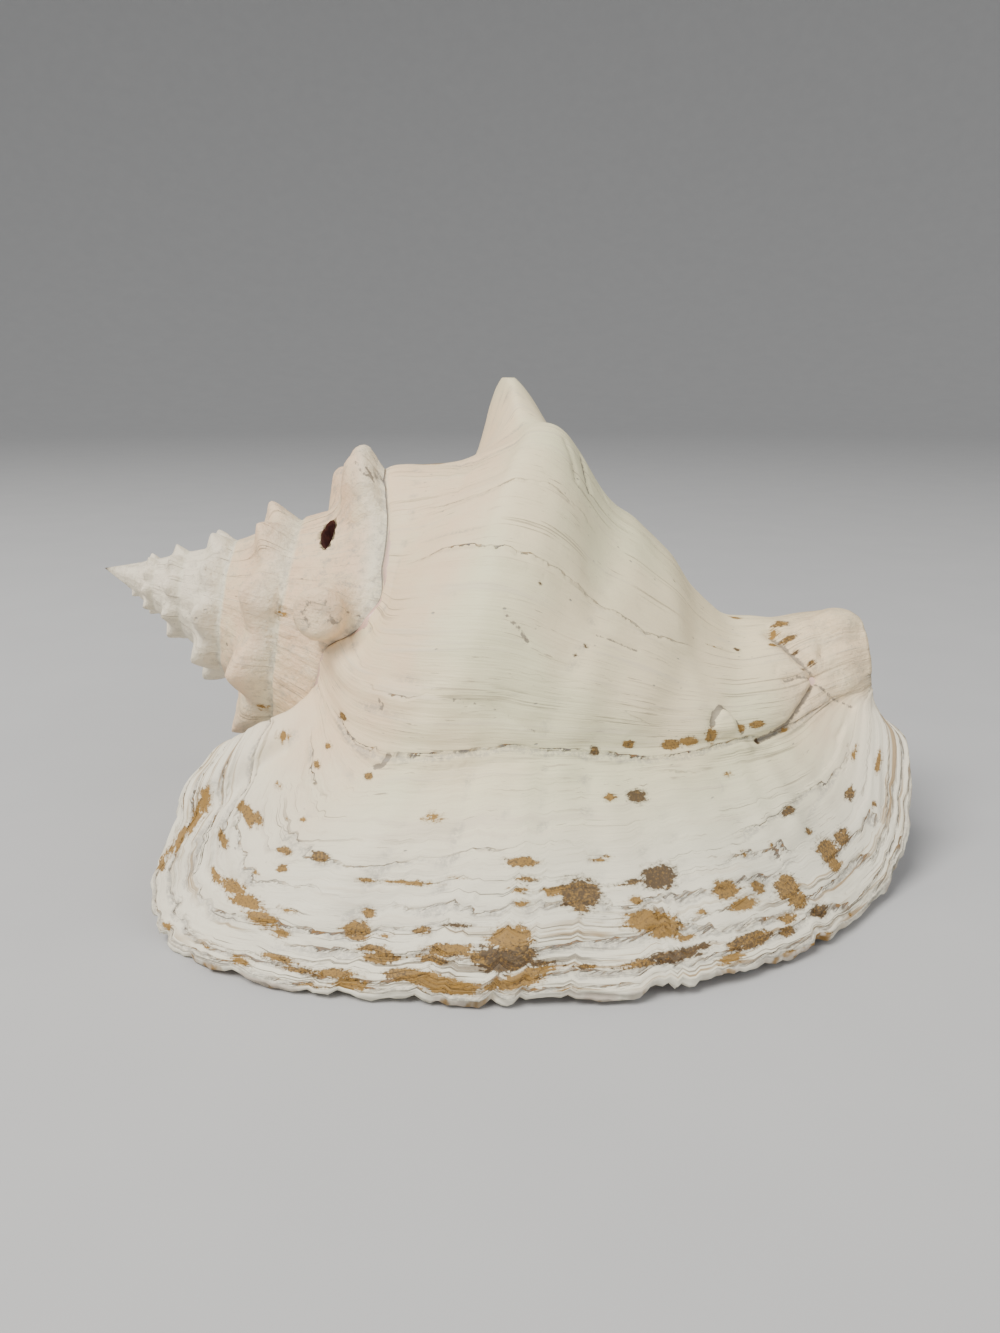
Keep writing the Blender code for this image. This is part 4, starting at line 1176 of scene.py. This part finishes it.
class Nodes:
    """Short hand for building a material's node tree."""

    def __init__(self, name):
        self.mat = bpy.data.materials.new(name)
        self.mat.use_nodes = True
        self.tree = self.mat.node_tree
        self.tree.nodes.clear()
        self.color = None
        self.out = self.tree.nodes.new("ShaderNodeOutputMaterial")
        self.bsdf = self.tree.nodes.new("ShaderNodeBsdfPrincipled")
        self.tree.links.new(self.bsdf.outputs[0], self.out.inputs[0])

    def put(self, socket, value):
        """Links a socket or sets its value."""
        if isinstance(value, bpy.types.NodeSocket):
            self.tree.links.new(value, socket)
        else:
            socket.default_value = value

    def math(self, kind, a, b=0.0, c=0.0, clamp=False):
        node = self.tree.nodes.new("ShaderNodeMath")
        node.operation = kind
        node.use_clamp = clamp
        for socket, value in zip(node.inputs, (a, b, c)):
            self.put(socket, value)
        return node.outputs[0]

    def times(self, a, b, clamp=False):
        return self.math("MULTIPLY", a, b, clamp=clamp)

    def plus(self, a, b, clamp=False):
        return self.math("ADD", a, b, clamp=clamp)

    def minus(self, a, b, clamp=False):
        return self.math("SUBTRACT", a, b, clamp=clamp)

    def swing(self, value, size):
        """A noise around its middle, made larger or smaller."""
        return self.times(self.minus(value, 0.5), size)

    def ramp(self, value, low, high, out_low=0.0, out_high=1.0):
        node = self.tree.nodes.new("ShaderNodeMapRange")
        node.interpolation_type = "SMOOTHSTEP"
        self.put(node.inputs["Value"], value)
        self.put(node.inputs["From Min"], low)
        self.put(node.inputs["From Max"], high)
        self.put(node.inputs["To Min"], out_low)
        self.put(node.inputs["To Max"], out_high)
        return node.outputs["Result"]

    def mix(self, fac, a, b):
        node = self.tree.nodes.new("ShaderNodeMix")
        node.data_type = "RGBA"
        self.put(node.inputs["Factor"], fac)
        self.put(node.inputs[6], a)
        self.put(node.inputs[7], b)
        return node.outputs[2]

    def over(self, fac, color):
        """Lays a colour over the material's colour so far."""
        self.color = self.mix(fac, self.color, color)

    def attribute(self, name):
        node = self.tree.nodes.new("ShaderNodeAttribute")
        node.attribute_name = name
        return node.outputs["Fac"]

    def grow(self, along, across, shift=0.0):
        """Coordinates that follow the growth lines, in cycles per millimetre."""
        uv = self.tree.nodes.new("ShaderNodeUVMap")
        uv.uv_map = "growth"
        node = self.tree.nodes.new("ShaderNodeMapping")
        self.put(node.inputs["Vector"], uv.outputs["UV"])
        node.inputs["Scale"].default_value = (along * 100.0, across * 100.0, 1.0)
        node.inputs["Location"].default_value = (shift, shift * 0.7, shift * 0.3)
        return node.outputs["Vector"]

    def solid(self, scale):
        """Coordinates in space, in cycles per millimetre."""
        coord = self.tree.nodes.new("ShaderNodeTexCoord")
        node = self.tree.nodes.new("ShaderNodeMapping")
        self.put(node.inputs["Vector"], coord.outputs["Object"])
        node.inputs["Scale"].default_value = (scale * 1000.0,) * 3
        return node.outputs["Vector"]

    def noise(self, vector, detail=3.0, rough=0.55, warp=0.0):
        node = self.tree.nodes.new("ShaderNodeTexNoise")
        self.put(node.inputs["Vector"], vector)
        node.inputs["Scale"].default_value = 1.0
        node.inputs["Detail"].default_value = detail
        node.inputs["Roughness"].default_value = rough
        node.inputs["Distortion"].default_value = warp
        return node.outputs[0]

    def cells(self, vector):
        node = self.tree.nodes.new("ShaderNodeTexVoronoi")
        self.put(node.inputs["Vector"], vector)
        node.inputs["Scale"].default_value = 1.0
        return node.outputs["Distance"]

    def finish(self, **inputs):
        """Sets the surface: each name is an input of it, with _ for a space."""
        for name, value in inputs.items():
            self.put(self.bsdf.inputs[name.replace("_", " ")], value)
        return self.mat

    def bump(self, height, strength, distance, below=None):
        node = self.tree.nodes.new("ShaderNodeBump")
        self.put(node.inputs["Height"], height)
        node.inputs["Strength"].default_value = strength
        node.inputs["Distance"].default_value = distance * 0.001
        if below is not None:
            self.put(node.inputs["Normal"], below)
        return node.outputs["Normal"]


CREAM = (0.90, 0.785, 0.50, 1.0)
GREENISH = (0.82, 0.79, 0.50, 1.0)
PEACH = (0.88, 0.615, 0.39, 1.0)
CHALK = (0.86, 0.815, 0.66, 1.0)
OCHRE = (0.30, 0.160, 0.026, 1.0)
BROWN = (0.070, 0.036, 0.010, 1.0)
GREY = (0.30, 0.28, 0.255, 1.0)
LINE_BROWN = (0.45, 0.36, 0.25, 1.0)
HAIR_BROWN = (0.34, 0.27, 0.18, 1.0)
SHADE = (0.72, 0.62, 0.46, 1.0)
# dark line at the layer steps: real cracks and brown lamina, and painted shade under the steps
CRACK_SHADE_GREY = (0.20, 0.175, 0.15, 1.0)
CRACK_SHADE_RUST = (0.25, 0.135, 0.045, 1.0)
LONG_CRACK = (0.27, 0.20, 0.125, 1.0)
STREAK = (0.33, 0.19, 0.06, 1.0)
# painted shade of the seam between the whorls
SEAM_SHADE = (0.13, 0.095, 0.07, 1.0)
# painted shade of the creases and grooves, and dark of the cracks
FOLD_SHADE_AND_CRACK = (0.20, 0.165, 0.13, 1.0)
MOTTLE = (0.52, 0.45, 0.34, 1.0)
INSIDE_DARK = (0.76, 0.47, 0.38, 1.0)
INSIDE_LIGHT = (0.80, 0.56, 0.44, 1.0)
INSIDE_EDGE = (0.80, 0.70, 0.62, 1.0)
# painted sheen of the glossy inside
INSIDE_SHEEN = (0.83, 0.72, 0.62, 1.0)
RIM_SHADE = (0.60, 0.52, 0.42, 1.0)
# painted shade inside the old hole
HOLE_SHADE = (0.070, 0.020, 0.016, 1.0)
HOLE_SHADE_PALE = (0.16, 0.05, 0.035, 1.0)
FLOOR_DARK = (0.46, 0.46, 0.46, 1.0)
FLOOR_LIGHT = (0.50, 0.50, 0.495, 1.0)


def outside_material():
    """Chalky outside: growth lines, layer edges, cracks, seam, pits and stains, with painted shade in
    the seam, along the layer steps and in the creases.
    """
    n = Nodes("shell_outside")
    uv = n.tree.nodes.new("ShaderNodeUVMap")
    uv.uv_map = "growth"
    parts = n.tree.nodes.new("ShaderNodeSeparateXYZ")
    n.put(parts.inputs[0], uv.outputs["UV"])
    from_suture = n.times(parts.outputs["Y"], 100.0)
    broad = n.noise(n.solid(0.022), detail=2.0)
    patch = n.noise(n.solid(0.09), detail=3.0)
    n.color = n.mix(n.ramp(broad, 0.38, 0.62), CREAM, GREENISH)
    pink = n.times(n.attribute("pink"), n.ramp(patch, 0.25, 0.65, 0.55, 1.0))
    n.over(pink, PEACH)
    n.over(n.attribute("white"), CHALK)
    # growth lines
    fine = n.noise(n.grow(0.9, 0.035), detail=5.0, rough=0.62, warp=0.5)
    wide = n.noise(n.grow(0.28, 0.016, 3.0), detail=3.0, rough=0.6, warp=0.6)
    hair = n.noise(n.grow(2.2, 0.12, 9.0), detail=3.0, rough=0.6, warp=0.3)
    where = n.noise(n.grow(0.03, 0.05, 6.0), detail=3.0)
    busy = n.attribute("busy")
    lines = n.times(n.ramp(fine, 0.60, 0.70), n.ramp(where, 0.42, 0.60, 0.1, 0.6))
    lines = n.times(lines, busy)
    n.over(lines, LINE_BROWN)
    hairs = n.times(n.ramp(hair, 0.64, 0.70), n.ramp(where, 0.46, 0.60, 0.15, 0.85))
    hairs = n.times(hairs, busy)
    n.over(hairs, HAIR_BROWN)
    glow = n.times(n.ramp(wide, 0.54, 0.70), n.times(busy, 0.45))
    n.over(glow, SHADE)
    # edges of the growth layers: a dark line along each step, partly real cracks and brown lamina,
    # partly painted shade under the step
    share = n.math("FRACT", n.attribute("layer"))
    under = n.times(n.minus(1.0, share), n.attribute("layer_gap"))
    ragged = n.noise(n.grow(0.5, 0.6, 2.0), detail=4.0, rough=0.65)
    near_lip = n.ramp(n.attribute("rim"), 34.0, 14.0)
    width = n.ramp(ragged, 0.35, 0.75, 0.15, n.math("MULTIPLY_ADD", near_lip, 1.1, 1.0))
    crack = n.minus(1.0, n.math("DIVIDE", under, width), clamp=True)
    crack = n.times(n.ramp(crack, 0.0, 0.5), n.attribute("layer_edge"), clamp=True)
    breaks = n.noise(n.grow(0.05, 0.09, 7.0), detail=4.0, rough=0.7)
    crack = n.times(crack, n.ramp(breaks, 0.40, 0.56, 0.1, 1.0))
    tone = n.noise(n.solid(0.55), detail=4.0, rough=0.65)
    rusty = n.plus(n.ramp(tone, 0.45, 0.60), n.times(near_lip, 0.5), clamp=True)
    n.over(crack, n.mix(rusty, CRACK_SHADE_GREY, CRACK_SHADE_RUST))
    # long thin cracks
    long_crack = n.noise(n.grow(1.0, 0.012, 21.0), detail=4.0, rough=0.6, warp=0.5)
    cluster = n.noise(n.grow(0.04, 0.022, 14.0), detail=3.0)
    long_crack = n.times(n.ramp(long_crack, 0.615, 0.645), n.ramp(cluster, 0.46, 0.58))
    long_crack = n.times(long_crack, n.math("MULTIPLY_ADD", near_lip, 0.35, 0.45))
    long_crack = n.times(long_crack, busy)
    n.over(long_crack, LONG_CRACK)
    # thin brown streaks between the layers of the lip
    streak = n.noise(n.grow(0.55, 0.018, 11.0), detail=5.0, rough=0.65, warp=0.4)
    gather = n.noise(n.grow(0.05, 0.03, 4.0), detail=2.0)
    streak = n.times(n.ramp(streak, 0.52, 0.60), n.ramp(gather, 0.42, 0.56))
    streak = n.times(streak, n.ramp(n.attribute("rim"), 24.0, 9.0))
    n.over(n.times(streak, 0.8), STREAK)
    # painted shade in the seam between the whorls
    seam = n.minus(from_suture, n.swing(ragged, 0.5))
    old = n.attribute("age")
    seam = n.ramp(seam, 0.95, 0.30)
    n.over(n.times(seam, 0.9), SEAM_SHADE)
    # folds: painted shade in the creases and grooves, and the dark of the cracks
    torn = n.noise(n.solid(0.7), detail=4.0, rough=0.7)
    fold = n.plus(n.attribute("crease"), n.swing(torn, 0.9))
    fold = n.ramp(fold, 0.46, 0.62)
    n.over(n.times(fold, 0.8), FOLD_SHADE_AND_CRACK)
    # hollows hold grey
    grain = n.noise(n.solid(0.9), detail=4.0, rough=0.7)
    deep = n.ramp(n.attribute("hollow"), 0.12, 0.45)
    n.over(n.times(deep, n.ramp(grain, 0.35, 0.6, 0.05, 0.5)), GREY)
    # the spire is mottled
    mottle = n.noise(n.solid(0.28), detail=5.0, rough=0.7)
    dirty = n.times(n.ramp(mottle, 0.50, 0.64), old)
    n.over(n.times(dirty, 0.38), MOTTLE)
    specks = n.noise(n.solid(1.3), detail=4.0, rough=0.75)
    specks = n.times(n.ramp(specks, 0.60, 0.66), n.ramp(mottle, 0.44, 0.58))
    n.over(n.times(specks, n.math("MULTIPLY_ADD", old, 0.55, 0.12)), GREY)
    # pits
    spots = n.cells(n.grow(0.30, 0.16, 1.3))
    rare = n.noise(n.solid(0.05), detail=3.0)
    pit = n.times(n.ramp(spots, 0.10, 0.04), n.ramp(rare, 0.50, 0.58))
    n.over(n.times(pit, 0.75), GREY)
    # stains
    long_noise = n.noise(n.grow(0.75, 0.10, 5.0), detail=5.0, rough=0.7)
    round_noise = n.noise(n.solid(0.75), detail=5.0, rough=0.75)
    level = n.plus(n.attribute("stain"), n.swing(long_noise, 1.5))
    level = n.plus(level, n.swing(round_noise, 1.3))
    level = n.times(level, n.ramp(n.attribute("stain"), 0.05, 0.25))
    halo = n.ramp(level, 0.22, 0.60, 0.0, 0.45)
    stain = n.ramp(level, 0.50, 0.60)
    stain = n.math("MAXIMUM", stain, halo)
    crumb = n.noise(n.solid(1.5), detail=4.0, rough=0.8)
    mixed = n.plus(crumb, n.swing(n.attribute("stain_dark"), 0.30))
    stain_color = n.mix(n.ramp(mixed, 0.42, 0.62), OCHRE, BROWN)
    n.over(n.times(stain, 0.95), stain_color)
    # gloss and fine relief
    rough = n.plus(n.ramp(patch, 0.3, 0.7, 0.50, 0.64), n.times(stain, 0.15))
    bumps = n.bump(n.times(fine, busy), 0.45, 0.5)
    bumps = n.bump(n.times(wide, busy), 0.45, 0.9, bumps)
    bumps = n.bump(grain, 0.22, 0.3, bumps)
    bumps = n.bump(n.times(pit, -1.0), 0.6, 0.4, bumps)
    open_line = n.math("MAXIMUM", n.math("MAXIMUM", crack, seam), long_crack)
    bumps = n.bump(n.times(open_line, -1.0), 0.8, 0.6, bumps)
    ledge = n.times(n.ramp(under, 0.0, 1.6), n.attribute("layer_edge"))
    bumps = n.bump(ledge, 0.7, 0.9, bumps)
    bumps = n.bump(n.times(hair, busy), 0.25, 0.25, bumps)
    bumps = n.bump(n.times(mottle, old), 0.8, 1.3, bumps)
    return n.finish(Base_Color=n.color, Roughness=rough, Specular_IOR_Level=0.38, Normal=bumps)


def inside_material():
    """Glossy pink inside, with painted sheen along its growth lines."""
    n = Nodes("shell_inside")
    broad = n.noise(n.solid(0.03), detail=2.0)
    edge_in = n.attribute("rim")
    pink = n.mix(n.ramp(broad, 0.35, 0.65), INSIDE_DARK, INSIDE_LIGHT)
    n.color = n.mix(n.ramp(edge_in, 4.0, 26.0), INSIDE_EDGE, pink)
    lines = n.noise(n.grow(0.5, 0.03, 2.0), detail=3.0, rough=0.6)
    # painted sheen: paler streaks along the growth lines
    n.over(n.ramp(lines, 0.55, 0.75, 0.0, 0.3), INSIDE_SHEEN)
    bumps = n.bump(lines, 0.25, 0.5)
    return n.finish(Base_Color=n.color, Roughness=0.24, Coat_Weight=0.35, Coat_Roughness=0.12,
                    Normal=bumps)


def rim_material():
    """Broken layers on the rim."""
    n = Nodes("shell_rim")
    layers = n.noise(n.grow(1.4, 0.05, 4.0), detail=4.0, rough=0.6, warp=0.3)
    patch = n.noise(n.solid(0.12), detail=3.0)
    n.color = n.mix(n.ramp(layers, 0.45, 0.6), CHALK, RIM_SHADE)
    brown = n.times(n.ramp(patch, 0.5, 0.6), n.ramp(layers, 0.4, 0.6))
    n.over(brown, OCHRE)
    return n.finish(Base_Color=n.color, Roughness=0.7, Normal=n.bump(layers, 0.6, 0.5))


def hole_material():
    """Walls of the old hole, painted dark as the shade inside it."""
    n = Nodes("shell_hole")
    grain = n.noise(n.solid(0.5), detail=3.0)
    # painted shade: the walls of the hole are near black
    n.color = n.mix(n.ramp(grain, 0.35, 0.65), HOLE_SHADE, HOLE_SHADE_PALE)
    return n.finish(Base_Color=n.color, Roughness=0.8)


def floor_material():
    """Plain pale floor."""
    n = Nodes("floor")
    grain = n.noise(n.solid(0.02), detail=2.0)
    return n.finish(Base_Color=n.mix(grain, FLOOR_DARK, FLOOR_LIGHT), Roughness=0.9)


def paint(mesh, tags):
    """Gives every point the values that the materials read."""
    tag = dict(zip(dict(LABELS), tags.T))
    theta = tag["theta"]
    t = tag["t"]
    spire = smooth((-200.0 - theta) / 120.0)
    slope = smooth((0.33 - t) / 0.10)
    canal = smooth((t - 0.80) / 0.12)
    pink = np.clip(0.12 + 0.25 * spire + 0.60 * slope + 0.45 * canal, 0.0, 1.0)
    tip = smooth((-650.0 - theta) / 300.0)
    white = np.maximum(smooth((theta - 92.0) / 40.0) * 0.85, 0.75 * tip)
    crown = np.exp(-((t - 0.30) / 0.06) ** 2) * spire
    white = np.maximum(white, 0.55 * crown)
    hollow = np.clip(tag["pit"] / 0.5, 0.0, 1.0)
    lip = smooth((theta - 90.0) / 8.0)
    ends = np.maximum(smooth((t - 0.83) / 0.06), smooth((0.14 - t) / 0.05))
    busy = 1.0 - 0.85 * lip * ends
    age = np.maximum(smooth((-190.0 - theta) / 50.0), 0.9 * canal * (1.0 - lip))
    values = [("busy", busy), ("age", age), ("pink", pink), ("white", white)]
    values += [("hollow", hollow), ("rim", tag["grown"])]
    for name in ("stain", "layer", "layer_gap", "layer_edge", "crease", "stain_dark"):
        values.append((name, tag[name]))
    for name, value in values:
        layer = mesh.attributes.new(name, "FLOAT", "POINT")
        layer.data.foreach_set("value", value.astype(np.float32))


# the skin stays this far inside the solid's box, in millimetres; mean kind of a face's
# corners where the rim and the inside begin
CAD_GAP = 0.02
RIM_KIND = 0.08
INSIDE_KIND = 0.85


def dress():
    """The shell as one closed mesh with its labels and materials."""
    places, labels, rings, weld = build()
    points, tags, faces, corners = compact(places, labels, rings, weld)
    low = np.array(CAD_LOW) * 1000.0 + CAD_GAP
    high = np.array(CAD_HIGH) * 1000.0 - CAD_GAP
    points = np.clip(points + SHIFT, low, high)
    mesh = bpy.data.meshes.new("shell_skin")
    mesh.from_pydata((points * 0.001).tolist(), [], faces)
    paint(mesh, tags)
    own = np.concatenate([np.array(c) for c in corners])
    uv = mesh.uv_layers.new(name="growth")
    uv.data.foreach_set("uv", (labels[own, :2] * 0.01).astype(np.float32).reshape(-1))
    kinds = np.array([labels[c, 2].mean() for c in corners])
    slot = np.where(kinds < RIM_KIND, 0, np.where(kinds < INSIDE_KIND, 2, 1))
    for make in (outside_material, inside_material, rim_material):
        mesh.materials.append(make())
    mesh.polygons.foreach_set("material_index", slot.astype(np.int32))
    mesh.polygons.foreach_set("use_smooth", np.ones(len(slot), bool))
    bm = bmesh.new()
    bm.from_mesh(mesh)
    face_out(bm, mesh)
    return link("shell_skin", mesh)


def cut_slot(skin):
    """Cuts the old hole into the spire."""
    cutter = slot_cutter()
    cutter.data.materials.append(hole_material())
    cut = skin.modifiers.new("slot", "BOOLEAN")
    cut.operation = "DIFFERENCE"
    cut.solver = "MANIFOLD"
    cut.material_mode = "TRANSFER"
    cut.object = cutter
    graph = bpy.context.evaluated_depsgraph_get()
    cut_mesh = bpy.data.meshes.new_from_object(skin.evaluated_get(graph))
    skin.modifiers.clear()
    skin.data = cut_mesh
    bpy.data.objects.remove(cutter, do_unlink=True)


# light of the sky; the lights: name, place, target, size, power, colour
SKY = (0.97, 0.98, 1.0, 1.0)
SKY_STRENGTH = 0.50
LIGHTS = (
    ("key", (-0.8, -0.75, 1.5), (0.0, 0.0, 0.05), 1.0, 47.0, (1.0, 0.975, 0.94)),
    ("fill", (1.2, -0.9, 0.9), (0.0, 0.0, 0.06), 1.6, 9.0, (0.97, 0.98, 1.0)),
)

# the floor in metres: radii of its flat part, radius of its bend, level
FLOOR_RINGS = (0.4, 1.0, 1.8, 2.6)
FLOOR_BEND = 2.4
FLOOR_SIDES = 96
FLOOR_LEVEL = -0.0004


def add_area(name, place, target, size, power, color):
    """A round soft light that looks at its target."""
    data = bpy.data.lights.new(name, "AREA")
    data.shape = "DISK"
    data.size = size
    data.energy = power
    data.color = color
    obj = link(name, data)
    obj.location = place
    way = np.array(place) - np.array(target)
    x, y, z = way / np.linalg.norm(way)
    obj.rotation_euler = (math.acos(z), 0.0, math.atan2(y, x) + math.pi / 2.0)


def studio():
    """Soft daylight, two lights and a pale floor that rises behind the shell."""
    world = bpy.data.worlds.new("studio")
    bpy.context.scene.world = world
    world.use_nodes = True
    back = world.node_tree.nodes["Background"]
    back.inputs["Color"].default_value = SKY
    back.inputs["Strength"].default_value = SKY_STRENGTH
    for light in LIGHTS:
        add_area(*light)
    rings = [(r, 0.0) for r in FLOOR_RINGS]
    for q in np.linspace(0.1, 1.45, 16):
        rise = FLOOR_BEND - FLOOR_BEND * math.cos(q)
        rings.append((FLOOR_RINGS[-1] + FLOOR_BEND * math.sin(q), rise))
    verts = [(0.0, 0.0, 0.0)]
    faces = []
    turns = [2 * math.pi * k / FLOOR_SIDES for k in range(FLOOR_SIDES)]
    for r, z in rings:
        verts += [(r * math.cos(turn), r * math.sin(turn), z) for turn in turns]
    for k in range(FLOOR_SIDES):
        faces.append((0, 1 + k, 1 + (k + 1) % FLOOR_SIDES))
    for ring in range(len(rings) - 1):
        at = 1 + ring * FLOOR_SIDES
        for k in range(FLOOR_SIDES):
            n = (k + 1) % FLOOR_SIDES
            faces.append((at + k, at + FLOOR_SIDES + k, at + FLOOR_SIDES + n, at + n))
    mesh = bpy.data.meshes.new("floor")
    mesh.from_pydata(verts, [], faces)
    mesh.polygons.foreach_set("use_smooth", np.ones(len(faces), bool))
    mesh.materials.append(floor_material())
    floor = link("floor", mesh)
    floor.location = (0.0, 0.0, FLOOR_LEVEL)


def camera():
    """The photo's own camera."""
    data = bpy.data.cameras.new("camera")
    data.sensor_width = 36.0
    data.lens = data.sensor_width * PHOTO_FOCAL / PHOTO_SIZE[1]
    data.clip_start = 0.01
    obj = link("camera", data)
    obj.location = (CAMERA_AT + SHIFT) * 0.001
    obj.rotation_euler = (math.radians(90.0) - CAMERA_DOWN, 0.0, 0.0)
    bpy.context.scene.camera = obj


skin = dress()
cut_slot(skin)
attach(skin, "root")
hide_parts("shell")
studio()
camera()
